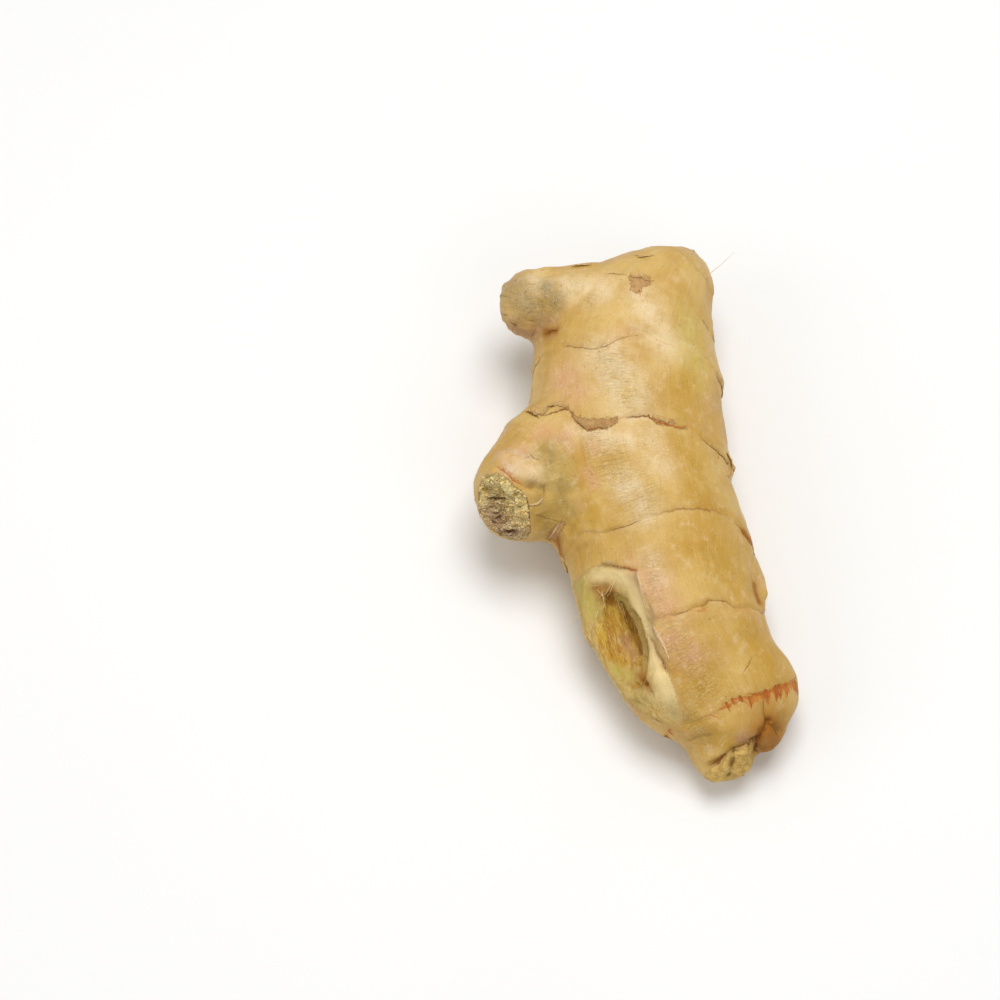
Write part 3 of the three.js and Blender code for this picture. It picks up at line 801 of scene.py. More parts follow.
def shaped_skin(points, edges, quads, into):
    """Gives the skin its lips, flutes and lumps and the torn places their fibres, and works out the numbers
    that its material reads, by name."""
    count = len(points)
    places, owner, grain = limb_fields(points)
    joints, lips = joint_fields(places, owner)
    past = joints["past"]
    normals = normals_of(points, quads)
    torn = np.max(list(into.values()), axis=0)
    facing = normals @ BACK
    at_hollow = within(HOLLOW, points, HOLLOW_REACH) & (facing > 0.1)
    at_knob = within(KNOB_SCAR, points, KNOB_REACH) & (facing > 0.1)
    at_toes = (points[:, 1] < TOES_START) & (facing > -0.3)
    outline, hole, scar, toe = (
        np.where(there, inside_outline(points, corners), OUTSIDE)
        for there, corners in (
            (at_hollow, WOUND_OUTLINE), (at_hollow, CAVITY_OUTLINE), (at_knob, SCAR_OUTLINE), (at_toes, TOE_OUTLINE),
        )
    )
    wound = np.max([torn, outline, scar, toe], axis=0)
    whole = 1 - ramp(wound, -0.6, 0.3)
    standing = ramp(points[:, 2], 0.4, 3.0)
    near = ramp(np.abs(past), 6, 4)
    hidden = ramp(facing, 0.15, -0.25)

    lip = 0.32 * np.exp(-(((past + 0.9) / 1.2) ** 2)) - 0.24 * np.exp(-((past / 0.5) ** 2))
    lip += 0.12 * np.exp(-(((past + 3) / 2.6) ** 2))
    lift = joints["step"] * (1 + 0.8 * hidden) * lip * near - 0.7 * lips * (1 - hidden)
    lift += 0.24 * NOISES[3](grain * [0.16, 0.035, 0.16]) + 0.1 * NOISES[4](grain * [0.45, 0.1, 0.45])
    lift += 0.2 * NOISES[5](points / 4.6) + 0.1 * NOISES[6](points / 1.9)
    finger_tip = (owner == FINGER_NUMBER) * ramp(places[FINGER_NUMBER][0], 14, 24)
    lift += finger_tip * (0.5 * NOISES[4](points * 0.3) + 0.22 * NOISES[5](points * 0.8))
    lift *= whole * standing

    # Torn flesh: strands that run along each torn place, pits between them, and crumbly broken ends.
    for name, place in TORN_PLACES.items():
        inside = ramp(into[name], 0.1, 1.4)
        local = (points - place["at"] - CENTRED) @ torn_basis(place).T
        if name in ("hollow", "cavity"):
            fleshy = wound > 0 if name == "hollow" else inside > 0.5
            fleshy &= within(HOLLOW, points, HOLLOW_REACH)
            grain = np.where(fleshy[:, None], local + [0, 0, 300], grain)
        strands = NOISES[1](local * [0.9, 0.2, 0.9]) + 0.6 * NOISES[2](local * [1.9, 0.45, 1.9])
        crumbs = NOISES[3](local * 0.75) + 0.7 * NOISES[4](local * 1.6)
        rough = {
            "hollow": 0.13 * strands, "cavity": 0.5 * strands, "knob_scar": 0.1 * crumbs, "end_scar": 0.5 * crumbs,
        }
        lift += inside * rough[name]
        lift += 0.2 * np.exp(-(((into[name] + 0.7) / 0.8) ** 2)) * standing
    crumbly = NOISES[3](points * 0.7) + 0.7 * NOISES[4](points * 1.5) + 0.4 * NOISES[5](points * 2.6)
    in_view = np.stack([points @ RIGHT, points @ RISE, points @ BACK], axis=1)
    in_view[:, 1] += 0.9 * NOISES[4](points * 0.35)
    rows = 1 - 2.4 * np.abs(NOISES[3](in_view * [0.26, 0.6, 0.5]))
    lift += ramp(scar, -0.6, 1.2) * (0.5 * rows + 0.25 * crumbly - 0.25)
    lift += 0.25 * np.exp(-(((scar + 1.1) / 0.9) ** 2)) * at_knob
    lift += ramp(toe, -0.2, 1.2) * (0.4 * NOISES[6](points * 0.4) + 0.2 * NOISES[3](points * 0.85))
    sunk = ramp(outline, -0.2, 1.6) * (1 - ramp(into["hollow"], -1.0, 0.5))
    lift -= sunk * (0.7 + 0.16 * NOISES[2](points / 1.3) + 0.2 * NOISES[3](points / 3))
    calm = settled(owner, wound > 0, edges)
    points = points + evened(lift, edges, calm)[:, None] * normals

    surface = Surface(points, halves(quads))
    cracks, crack_strength = line_marks(surface, points, normals, CRACK_AND_SHADOW_LINES)
    reds, red_strength = line_marks(surface, points, normals, RED_LINES)
    ridges, ridge_strength = line_marks(surface, points, normals, RIDGE_LINES)
    patches = np.max([inside_outline(points, corners) for corners in TORN_PATCHES], axis=0)
    patches = np.where(facing > 0.05, patches, OUTSIDE)
    deep = marked(surface, points, DEEP_ZONES)
    bevel = marked(surface, points, BEVEL_LINES)
    drop = 0.25 * crack_strength * ramp(np.abs(cracks), 2.5, 0) + 0.16 * ramp(patches, -0.3, 0.3) + deep
    for line, width, height in RIDGES:
        drop -= height * marked(surface, points, [(line, width)])
    for line, width, depth in CREASES:
        drop += depth * marked(surface, points, [(line, width)])
    points = points - drop[:, None] * normals_of(points, quads)
    points[:, 2] = np.maximum(points[:, 2], 0)

    # How far each point lies in a dip: in creases between limbs, under lips and in pits. The materials paint shade
    # there by it.
    wide = smoothed(points, edges, np.ones(count), 26)
    dip = ((wide - points) * normals_of(points, quads)).sum(axis=1)
    shown = 1 - marked(surface, points, FAINT_ZONES)
    joints["width"] = joints["width"] * (1 + 0.9 * hidden)
    drawn = joints["strength"] > 0
    joints["strength"] = np.minimum(joints["strength"] * (1 + hidden) + 0.25 * hidden * drawn, 1)
    beside = near * joints["strength"] * shown
    fringe = joints["fringe"]
    values = {
        "calm": calm,
        "joint": past / np.maximum(joints["width"], 0.1),
        "joint_strength": joints["strength"] * ramp(np.abs(past), 4.0, 2.5) * whole * shown,
        "joint_red": joints["red"],
        "before_joint": np.where(past < 0, np.exp(np.minimum(past, 0) / 1.7), 0) * beside,
        "past_joint": np.where(past > 0, np.exp(-np.maximum(past, 0) / 2.2), 0) * beside,
        "fringe": ramp(past, -0.5, 0.2) * ramp(past, fringe + 0.1, 0) * (fringe > 0) * shown,
        "dip": dip,
        "wound": wound,
        "cavity": np.where(at_hollow, hole, into["cavity"]),
        "scar": np.maximum(into["end_scar"], np.where(at_knob, scar, into["knob_scar"])),
        "toe": toe,
        "crack": cracks,
        "crack_strength": crack_strength,
        "red_line": reds,
        "red_strength": red_strength,
        "ridge_line": ridges,
        "ridge_strength": ridge_strength,
        "torn_patch": patches,
        "bevel": bevel,
        "deep": deep,
    }
    for name, marks in ZONES.items():
        values[name] = marked(surface, points, marks)
    values["wrinkled"] = np.maximum(values["wrinkled"], 0.7 * hidden * ramp(NOISES[6](points / 9), -0.3, 0.4))
    return points, grain, values, Surface(points, halves(quads))


class Finish:
    """A material's nodes, made by short calls. A value may be a number, a colour or a node's socket."""

    def __init__(self, name):
        self.material = bpy.data.materials.new(name)
        self.material.use_nodes = True
        self.tree = self.material.node_tree
        self.shader = self.tree.nodes["Principled BSDF"]

    def put(self, socket, value):
        if isinstance(value, bpy.types.NodeSocket):
            self.tree.links.new(value, socket)
        elif socket.type == "RGBA":
            socket.default_value = (*value, 1)
        else:
            socket.default_value = value

    def give(self, socket, value):
        """Sets one of the shader's own values, or links it."""
        self.put(self.shader.inputs[socket], value)

    def node(self, kind, values, **settings):
        made = self.tree.nodes.new("ShaderNode" + kind)
        for name, value in settings.items():
            setattr(made, name, value)
        for name, value in values.items():
            self.put(made.inputs[name], value)
        return made

    def read(self, name):
        return self.node("Attribute", {}, attribute_name=name).outputs["Fac"]

    def read_vector(self, name):
        return self.node("Attribute", {}, attribute_name=name).outputs["Vector"]

    def place(self):
        """Object coordinates in millimetres."""
        place = self.node("TexCoord", {}).outputs["Object"]
        return self.stretch(place, (1 / MM,) * 3)

    def stretch(self, vector, scale):
        return self.node("VectorMath", {0: vector, 1: scale}, operation="MULTIPLY").outputs[0]

    def math(self, operation, first, second=0.0):
        return self.node("Math", {0: first, 1: second}, operation=operation).outputs[0]

    def times(self, first, second):
        return self.math("MULTIPLY", first, second)

    def plus(self, first, second):
        return self.math("ADD", first, second)

    def minus(self, first, second):
        return self.math("SUBTRACT", first, second)

    def most(self, first, second):
        return self.math("MAXIMUM", first, second)

    def off(self, value):
        """How far a value is from 0, on either side."""
        return self.math("ABSOLUTE", value)

    def noise(self, vector, detail=2.0, roughness=0.5, distortion=0.0):
        return self.node("TexNoise", {
            "Vector": vector, "Scale": 1.0, "Detail": detail, "Roughness": roughness, "Distortion": distortion,
        }).outputs["Fac"]

    def cloud(self, place, fineness, detail=2.0, roughness=0.5):
        """Noise that is alike in all directions, with a number of lumps to the millimetre."""
        return self.noise(self.stretch(place, (fineness,) * 3), detail, roughness)

    def along(self, grain, place, calm, scale, detail=3, roughness=0.6, distortion=0.0):
        """Noise drawn out along the grain, which gives way to plain noise where the grain changes."""
        followed = self.noise(self.stretch(grain, scale), detail, roughness, distortion)
        plain = self.noise(self.stretch(place, scale), detail, roughness, distortion)
        return self.mix_number(calm, plain, followed)

    def ramp(self, value, low, high):
        values = {"Value": value, "From Min": low, "From Max": high}
        return self.node("MapRange", values, interpolation_type="SMOOTHSTEP").outputs["Result"]

    def mix(self, share, first, second):
        """A blend of two colours: all the first where the share is 0, and all the second where it is 1."""
        return self.node("Mix", {0: share, 6: first, 7: second}, data_type="RGBA").outputs[2]

    def tinted(self, colour, amount, tint, share):
        return self.mix(self.times(amount, share), colour, tint)

    def layer(self, colour, value, low, high, tint, share):
        """The colour, tinted where a value goes from low to high."""
        return self.tinted(colour, self.ramp(value, low, high), tint, share)

    def mix_number(self, share, first, second):
        return self.node("Mix", {0: share, 2: first, 3: second}, data_type="FLOAT").outputs[0]

    def bump(self, height, depth, under=None):
        """Relief as deep, in millimetres, as a height of 1."""
        values = {"Height": height, "Distance": depth * MM, "Strength": 1.0}
        if under is not None:
            values["Normal"] = under
        return self.node("Bump", values).outputs["Normal"]


# Colours, in linear light: the skin,
TAN = (0.56, 0.335, 0.078)
STRAW = (0.65, 0.43, 0.13)
UMBER = (0.27, 0.12, 0.022)
RUST = (0.43, 0.115, 0.014)
PINK = (0.68, 0.37, 0.20)
LEAF = (0.62, 0.48, 0.13)
PALE = (0.80, 0.62, 0.36)
GOLD = (0.50, 0.275, 0.028)
GREY = (0.57, 0.43, 0.22)
BROWN = (0.31, 0.105, 0.003)
PATCH = (0.48, 0.27, 0.10)
OLIVE = (0.36, 0.235, 0.06)
DUSKY = (0.40, 0.215, 0.095)
# painted highlight on the knob's dome,
DOME_HIGHLIGHT = (0.90, 0.70, 0.50)
WORN = (0.30, 0.20, 0.10)
GRIT = (0.20, 0.125, 0.05)
PALE_GRIT = (0.72, 0.60, 0.38)
GLINT = (0.9, 0.8, 0.6)
DARK_BARK = (0.33, 0.16, 0.05)
PALE_BARK = (0.54, 0.32, 0.14)
SEAM = (0.30, 0.11, 0.012)
SOOT = (0.16, 0.052, 0.004)
PALE_FRINGE = (0.55, 0.20, 0.03)
DARK_FRINGE = (0.36, 0.085, 0.01)
RIDGE_HIGHLIGHT = (0.84, 0.62, 0.38)
RIM = (0.58, 0.37, 0.17)
# the torn flesh,
CREAM = (0.60, 0.43, 0.155)
WEB = (0.45, 0.28, 0.065)
YOLK = (0.60, 0.40, 0.06)
LIME = (0.47, 0.38, 0.07)
AMBER = (0.46, 0.225, 0.024)
BARK_AND_HOLLOW_SHADE = (0.15, 0.056, 0.008)
STAINED_FLESH = (0.50, 0.35, 0.13)
PAINTED_LIGHT_BEVEL = (0.95, 0.74, 0.36)
THREAD = (0.80, 0.64, 0.26)
SCAR_OCHRE = (0.74, 0.46, 0.11)
SCAR_CREAM = (0.97, 0.79, 0.36)
DULL_OCHRE = (0.54, 0.32, 0.12)
DULL_CREAM = (0.78, 0.55, 0.29)
SCAR_PIT_SHADE = (0.30, 0.14, 0.02)
SCAR_SLIT = (0.28, 0.12, 0.015)
TOE_OCHRE = (0.50, 0.31, 0.08)
TOE_CREAM = (0.66, 0.45, 0.14)
TOE_CREVICE_SHADE = (0.22, 0.10, 0.02)
FRESH_FLESH = (0.56, 0.43, 0.13)
GREY_FLESH = (0.55, 0.42, 0.20)
PINK_FLESH = (0.56, 0.32, 0.17)
# the dry scales, the fibres, the crumbs and the floor.
SCALE_STRAW = (0.64, 0.43, 0.16)
SCALE_TAN = (0.52, 0.31, 0.085)
SCALE_BLOTCH = (0.40, 0.21, 0.06)
SCALE_BROWN = (0.36, 0.18, 0.045)
SCALE_EDGE = (0.76, 0.56, 0.27)
PALE_FIBRE = (0.86, 0.76, 0.48)
DARK_FIBRE = (0.56, 0.33, 0.055)
CREAM_CRUMB = (0.86, 0.68, 0.30)
OCHRE_CRUMB = (0.62, 0.40, 0.11)
DUSTY_CRUMB = (0.56, 0.41, 0.25)
DARK_CRUMB = (0.36, 0.22, 0.11)
FLOOR_GREY = (0.86, 0.86, 0.855)
FLOOR_WHITE = (0.88, 0.88, 0.875)


# Tints of the zones. The pale tint is partly painted highlight, the tint on the knob's dome is painted highlight,
# the tint under the finger is painted shade, and the gold and olive tints are partly painted shade.
SKIN_TINTS = [
    ("pale", PALE, 0.85), ("green", LEAF, 0.8), ("gold", GOLD, 0.8), ("grey", GREY, 0.75), ("pink", PINK, 0.75),
    ("olive", OLIVE, 0.95), ("dusky", DUSKY, 0.9), ("pearl", DOME_HIGHLIGHT, 0.95),
]


def skin_colour(finish, place, grain, calm):
    """The whole skin: mottled tan, streaked along its grain, with its tinted zones, some of them painted highlights
    and some painted shade.
    """
    broad = finish.cloud(place, 0.085, 2)
    colour = finish.mix(finish.ramp(broad, 0.35, 0.65), TAN, STRAW)
    uneven = finish.cloud(place, 0.3, 3)
    for name, tint, share in SKIN_TINTS:
        amount = finish.times(finish.read(name), finish.ramp(uneven, 0.1, 0.65))
        colour = finish.tinted(colour, amount, tint, share)
    blush = finish.noise(finish.stretch(place, (0.11, 0.13, 0.12)), 1)
    colour = finish.layer(colour, blush, 0.58, 0.8, PINK, 0.3)
    strands = finish.along(grain, place, calm, (1.5, 0.14, 1.5), 4)
    colour = finish.layer(colour, strands, 0.52, 0.8, UMBER, 0.16)
    colour = finish.layer(colour, strands, 0.48, 0.25, PALE, 0.2)
    mottle = finish.cloud(place, 0.9, 4, 0.65)
    worn = finish.times(finish.read("grey"), finish.ramp(mottle, 0.5, 0.4))
    colour = finish.tinted(colour, worn, STRAW, 0.6)
    worn = finish.times(finish.read("grey"), finish.ramp(mottle, 0.55, 0.68))
    colour = finish.tinted(colour, worn, DUSKY, 0.5)
    spots = finish.noise(finish.stretch(place, (0.42, 0.36, 0.42)), 4, 0.7)
    colour = finish.layer(colour, spots, 0.53, 0.72, GOLD, 0.38)
    colour = finish.layer(colour, spots, 0.47, 0.28, PALE, 0.34)
    grit = finish.cloud(place, 2.4, 3, 0.7)
    colour = finish.layer(colour, grit, 0.5, 0.72, UMBER, 0.14)
    worn = finish.times(finish.read("grey"), finish.ramp(grit, 0.55, 0.62))
    colour = finish.tinted(colour, worn, WORN, 0.5)
    gritty = finish.times(finish.read("rough"), finish.ramp(grit, 0.5, 0.56))
    colour = finish.tinted(colour, gritty, GRIT, 0.7)
    gritty = finish.times(finish.read("rough"), finish.ramp(grit, 0.47, 0.40))
    colour = finish.tinted(colour, gritty, PALE_GRIT, 0.7)
    colour = finish.layer(colour, mottle, 0.55, 0.8, GOLD, 0.3)
    return colour


def wrinkles(finish, place, grain, calm):
    """Fine wavy folds across the grain, strong in patches and past each joint: their height, from 0 to 1."""
    fold = finish.along(grain, place, calm, (0.6, 1.9, 0.6), 3, 0.6, 1.1)
    where = finish.ramp(finish.cloud(place, 0.13, 2), 0.5, 0.75)
    where = finish.times(finish.most(where, finish.read("past_joint")), 0.45)
    where = finish.times(finish.most(where, finish.read("wrinkled")), calm)
    return finish.times(finish.ramp(fold, 0.3, 0.7), where)


def torn_rows(finish, place):
    """The uneven rows of a broken end, which run across the photograph: their height, from 0 to 1."""
    turn = {"Vector": place, "Angle": ELEVATION - math.pi / 2}
    turned = finish.node("VectorRotate", turn, rotation_type="X_AXIS").outputs["Vector"]
    return finish.noise(finish.stretch(turned, (0.32, 0.9, 0.4)), 4, 0.6, 0.7)


def flesh_colour(finish, place, grain, dip, rows):
    """Torn flesh: a pale bevel painted brighter than its flesh, amber strands in the cavity, yellow crumbs on the
    broken ends, and painted shade in its dips and deep holes.
    """
    strands = finish.noise(finish.stretch(grain, (1.3, 0.22, 1.3)), 4, 0.65)
    threads = finish.noise(finish.stretch(grain, (2.2, 0.35, 2.2)), 2, 0.5, 1.2)
    patchy = finish.noise(finish.stretch(place, (0.28, 0.2, 0.28)), 3)
    colour = finish.mix(finish.ramp(strands, 0.35, 0.68), CREAM, WEB)
    colour = finish.layer(colour, patchy, 0.5, 0.7, STAINED_FLESH, 0.6)
    inner = finish.mix(finish.ramp(strands, 0.36, 0.6), YOLK, AMBER)
    inner = finish.layer(inner, patchy, 0.5, 0.7, BARK_AND_HOLLOW_SHADE, 0.35)
    edge = finish.times(finish.minus(strands, 0.5), 3.0)
    cavity = finish.ramp(finish.plus(finish.read("cavity"), edge), -0.3, 0.7)
    # Painted light: the bevel lifted brighter than its flesh.
    colour = finish.tinted(colour, finish.read("bevel"), PAINTED_LIGHT_BEVEL, 0.92)
    colour = finish.mix(cavity, colour, inner)
    # Painted shade: the deep holes darkened.
    colour = finish.layer(colour, finish.read("deep"), 0.1, 0.7, BARK_AND_HOLLOW_SHADE, 0.9)
    colour = finish.layer(colour, threads, 0.6, 0.66, THREAD, 0.5)
    crumbs = finish.cloud(place, 0.7, 4, 0.7)
    bright = finish.mix(finish.ramp(crumbs, 0.34, 0.50), SCAR_OCHRE, SCAR_CREAM)
    dull = finish.mix(finish.ramp(crumbs, 0.36, 0.54), DULL_OCHRE, DULL_CREAM)
    ends = finish.mix(finish.read("dull"), bright, dull)
    # Painted shade in the dips of the broken ends.
    ends = finish.layer(ends, dip, 0.1, 0.6, SCAR_PIT_SHADE, 0.5)
    ends = finish.layer(ends, rows, 0.44, 0.37, SCAR_SLIT, 0.7)
    # Painted shade: amber in the dips of the flesh and on the cavity's walls.
    colour = finish.layer(colour, dip, 0.12, 0.6, AMBER, 0.7)
    colour = finish.mix(finish.ramp(finish.read("scar"), -0.1, 0.4), colour, ends)
    toe = finish.mix(finish.ramp(crumbs, 0.4, 0.58), TOE_OCHRE, TOE_CREAM)
    # Painted shade in the dips of the toes.
    toe = finish.layer(toe, dip, 0.1, 0.5, TOE_CREVICE_SHADE, 0.7)
    colour = finish.mix(finish.ramp(finish.read("toe"), -0.1, 0.4), colour, toe)
    fresh = finish.mix(finish.ramp(strands, 0.4, 0.6), LIME, FRESH_FLESH)
    colour = finish.tinted(colour, finish.read("fresh"), fresh, 0.9)
    colour = finish.tinted(colour, finish.read("grey"), GREY_FLESH, 0.4)
    # The brown zones: own brown, and painted shade in crevices and the hollow.
    colour = finish.tinted(colour, finish.read("brown"), BROWN, 0.75)
    return finish.tinted(colour, finish.read("pink"), PINK_FLESH, 0.7)


def skin_finish():
    """The skin, its stains, lines and patches, its painted highlights and painted shade, and the torn flesh where
    the skin is gone.
    """
    finish = Finish("ginger_skin")
    place = finish.place()
    grain = finish.read_vector("grain")
    calm = finish.read("calm")
    colour = skin_colour(finish, place, grain, calm)
    folds = wrinkles(finish, place, grain, calm)
    # Painted highlights: pale on the crests of the wrinkles, and glints, most of them in the pale and pink zones.
    colour = finish.layer(colour, folds, 0.5, 1, PALE, 0.22)
    glint = finish.along(grain, place, calm, (1.8, 3.4, 1.8), 2)
    lit = finish.most(finish.read("pale"), finish.times(finish.read("pink"), 0.6))
    glint = finish.times(finish.ramp(glint, 0.6, 0.7), finish.plus(finish.times(lit, 0.8), 0.2))
    colour = finish.tinted(colour, glint, GLINT, 0.55)

    # Painted shade: umber in the dips, in the creases between limbs, under the lips and in pits. Brown stains on
    # both sides of the joints, and the brown zones, which are partly the skin's own brown and partly painted shade.
    dip = finish.read("dip")
    stain = finish.cloud(place, 0.5, 4, 0.7)
    crease_shade = finish.times(finish.ramp(dip, 0.15, 0.8), finish.ramp(stain, 0.25, 0.6))
    colour = finish.tinted(colour, crease_shade, UMBER, 0.7)
    before = finish.times(finish.read("before_joint"), finish.ramp(stain, 0.3, 0.7))
    colour = finish.tinted(colour, before, UMBER, 0.5)
    past = finish.times(finish.read("past_joint"), finish.ramp(stain, 0.65, 0.35))
    colour = finish.tinted(colour, past, PALE, 0.45)
    brown = finish.times(finish.read("brown"), finish.ramp(stain, 0.0, 0.45))
    colour = finish.tinted(colour, brown, BROWN, 0.95)

    # Specks.
    speck = finish.cloud(place, 1.3, 1)
    colour = finish.layer(colour, speck, 0.74, 0.79, UMBER, 0.6)

    # Torn papery patches: bare brown fibre.
    fibre = finish.noise(finish.stretch(grain, (2.4, 0.4, 2.4)), 3, 0.6)
    nick = finish.minus(finish.cloud(place, 1.6, 3, 0.65), 0.5)
    ragged = finish.plus(finish.read("torn_patch"), finish.times(nick, 2.4))
    patch = finish.ramp(ragged, -0.1, 0.12)
    bark = finish.mix(finish.ramp(stain, 0.35, 0.65), DARK_BARK, PALE_BARK)
    colour = finish.tinted(colour, patch, finish.mix(finish.ramp(fibre, 0.4, 0.65), bark, PATCH), 0.9)
    edge = finish.times(finish.ramp(ragged, -0.2, 0.0), finish.ramp(ragged, 0.25, 0.02))
    colour = finish.tinted(colour, finish.times(edge, finish.ramp(stain, 0.4, 0.6)), UMBER, 0.6)

    # Joint lines, cracks, painted shadow lines and red marks, each broken up by the grain.
    wobble = finish.times(nick, 3.2)
    joint = finish.off(finish.plus(finish.read("joint"), wobble))
    line = finish.times(finish.ramp(joint, 1.1, 0.3), finish.read("joint_strength"))
    soot = finish.mix(finish.ramp(stain, 0.4, 0.6), SEAM, SOOT)
    colour = finish.tinted(colour, line, finish.mix(finish.read("joint_red"), soot, RUST), 0.9)
    comb = finish.noise(finish.stretch(grain, (0.62, 0.07, 0.62)), 4, 0.65, 0.3)
    reach = finish.plus(finish.read("fringe"), finish.times(finish.minus(comb, 0.5), 3.4))
    fringe = finish.times(finish.ramp(reach, 0.3, 0.55), finish.ramp(finish.read("fringe"), 0.02, 0.2))
    fringe = finish.times(fringe, finish.ramp(stain, 0.2, 0.45))
    combed = finish.mix(finish.ramp(comb, 0.42, 0.6), PALE_FRINGE, DARK_FRINGE)
    colour = finish.tinted(colour, fringe, combed, 0.92)
    uneven_edge = finish.times(nick, 5.0)
    red = finish.ramp(finish.off(finish.plus(finish.read("red_line"), uneven_edge)), 1.4, 0.2)
    red = finish.times(red, finish.read("red_strength"))
    gap = finish.ramp(finish.off(finish.plus(finish.read("crack"), uneven_edge)), 1.2, 0.4)
    gap = finish.times(gap, finish.read("crack_strength"))

    # Torn flesh.
    wound = finish.plus(finish.read("wound"), finish.times(nick, 2.6))
    bare = finish.ramp(wound, -0.05, 0.35)
    rows = torn_rows(finish, place)
    colour = finish.mix(bare, colour, flesh_colour(finish, place, grain, dip, rows))
    # Painted highlight: a pale line along the raised ridges, which are bumped as well.
    ridge = finish.ramp(finish.off(finish.plus(finish.read("ridge_line"), finish.times(nick, 3.0))), 1.8, 0.3)
    ridge = finish.times(ridge, finish.read("ridge_strength"))
    colour = finish.tinted(colour, ridge, RIDGE_HIGHLIGHT, 0.65)
    rim = finish.times(finish.ramp(wound, -0.8, 0), finish.ramp(wound, 0.3, 0.05))
    colour = finish.tinted(colour, rim, RIM, 0.4)
    colour = finish.tinted(colour, red, RUST, 0.9)
    # Cracks, and painted shadow under the curled flake and the pocket bud.
    colour = finish.tinted(colour, gap, soot, 0.95)
    finish.give("Base Color", colour)

    # Gloss: satin skin, dull flesh and stains.
    gloss = finish.cloud(place, 0.45, 3)
    roughness = finish.mix_number(gloss, 0.3, 0.55)
    stained = finish.most(finish.most(line, gap), finish.most(fringe, brown))
    roughness = finish.mix_number(finish.most(finish.most(bare, patch), stained), roughness, 0.8)
    finish.give("Roughness", roughness)

    # Relief: fine strands, the wrinkles, pores, and the sunk lines.
    strand = finish.along(grain, place, calm, (2.6, 0.22, 2.6), 4)
    normal = finish.bump(strand, 0.1)
    normal = finish.bump(folds, 0.16, normal)
    pore = finish.cloud(place, 3.2, 3, 0.7)
    normal = finish.bump(pore, 0.1, normal)
    rough_tip = finish.times(finish.read("grey"), finish.minus(1.0, bare))
    rough_tip = finish.times(finish.cloud(place, 1.0, 5, 0.75), rough_tip)
    normal = finish.bump(rough_tip, 1.0, normal)
    sunk = finish.minus(1.0, finish.most(line, finish.most(gap, patch)))
    normal = finish.bump(sunk, 0.16, normal)
    normal = finish.bump(ridge, 0.2, normal)
    crumb = finish.cloud(place, 1.7, 5, 0.75)
    normal = finish.bump(finish.times(crumb, bare), 0.16, normal)
    broken = finish.ramp(finish.read("scar"), -0.1, 0.4)
    normal = finish.bump(finish.times(crumb, broken), 0.35, normal)
    normal = finish.bump(finish.times(finish.ramp(rows, 0.38, 0.56), broken), 0.55, normal)
    finish.give("Normal", normal)
    finish.give("IOR", 1.43)
    finish.give("Specular IOR Level", 0.3)
    finish.give("Subsurface Weight", 0.1)
    finish.give("Subsurface Radius", (1.0, 0.5, 0.15))
    finish.give("Subsurface Scale", 1.2 * MM)
    return finish.material


def new_piece(name, mesh, material):
    """A finished piece that rides on the rhizome, with its material."""
    mesh.name = name
    mesh.materials.clear()
    mesh.materials.append(material)
    piece = bpy.data.objects.new(name, mesh)
    bpy.context.scene.collection.objects.link(piece)
    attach(piece, BODY_NAME)
    return piece


def store(mesh, name, values):
    """Keeps numbers or vectors on a mesh's points, for its material to read."""
    kind = "FLOAT" if values.ndim == 1 else "FLOAT_VECTOR"
    attribute = mesh.attributes.new(name, kind, "POINT")
    attribute.data.foreach_set("value" if values.ndim == 1 else "vector", values.astype(np.float32).ravel())


def make_skin():
    """The skin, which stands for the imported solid, and what the other pieces need to grow on it."""
    mesh, points, edges, quads, into = skin_shape()
    points, grain, values, surface = shaped_skin(points, edges, quads, into)
    mesh.vertices.foreach_set("co", (points * MM).ravel())
    mesh.update()
    mesh.shade_smooth()
    store(mesh, "grain", grain)
    for name, numbers in values.items():
        store(mesh, name, numbers)
    piece = new_piece("skin", mesh, skin_finish())
    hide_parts(NODE)
    return surface, points, values, normals_of(points, quads)


def evaluated_mesh(piece):
    """A piece's mesh with its modifiers applied. The piece itself is removed."""
    evaluated = piece.evaluated_get(bpy.context.evaluated_depsgraph_get())
    mesh = bpy.data.meshes.new_from_object(evaluated)
    bpy.data.objects.remove(piece)
    return mesh


def resampled(line, step):
    """Points at even steps along a line."""
    line = np.array(line)
    run = np.concatenate([[0], np.cumsum(np.linalg.norm(np.diff(line, axis=0), axis=1))])
    at = np.linspace(0, run[-1], max(4, int(run[-1] / step)))
    return np.stack([np.interp(at, run, line[:, axis]) for axis in range(3)], axis=1)


def scale_strip(surface, line, reach, lift, seed):
    """A thin strip of dry scale, rooted along a line on the skin, with a ragged edge that stands off it
    towards the growing end: its rows of points, and how far across the strip each point is."""
    line = resampled(line, 0.35)
    shares = np.linspace(0, 1, len(line))
    taper = np.sqrt(np.sin(np.pi * np.clip(shares, 0.01, 0.99)))
    steps = np.stack([line[:, 0] * 0.9, line[:, 1] * 0.9, np.full(len(line), float(seed))], axis=1)
    ragged = 0.55 + 0.8 * NOISES[0](steps) + 0.5 * NOISES[1](steps * 2.7)
    curl = 0.65 + 0.6 * NOISES[2](steps * 0.7)
    tangents = unit(np.gradient(line, axis=0))
    across = np.linspace(0, 1, 7)
    rows = []
    for place, tangent, rag, bend, thin in zip(line, tangents, ragged, curl, taper):
        foot, normal = surface.nearest(place)
        forward = unit(np.cross(normal, tangent))
        forward *= np.sign(forward @ TOWARDS_TIP) or 1
        for share in across:
            there, up = surface.nearest(foot + forward * (-0.9 + (0.9 + reach * max(rag, 0.15) * thin) * share))
            height = -0.06 + 0.12 * min(1, share * 3)
            height += lift * max(bend, 0.1) * thin * max(0, (share - 0.35) / 0.65) ** 1.7
            rows.append(there + up * height)
    return np.array(rows), np.tile(across, len(line)), len(across)


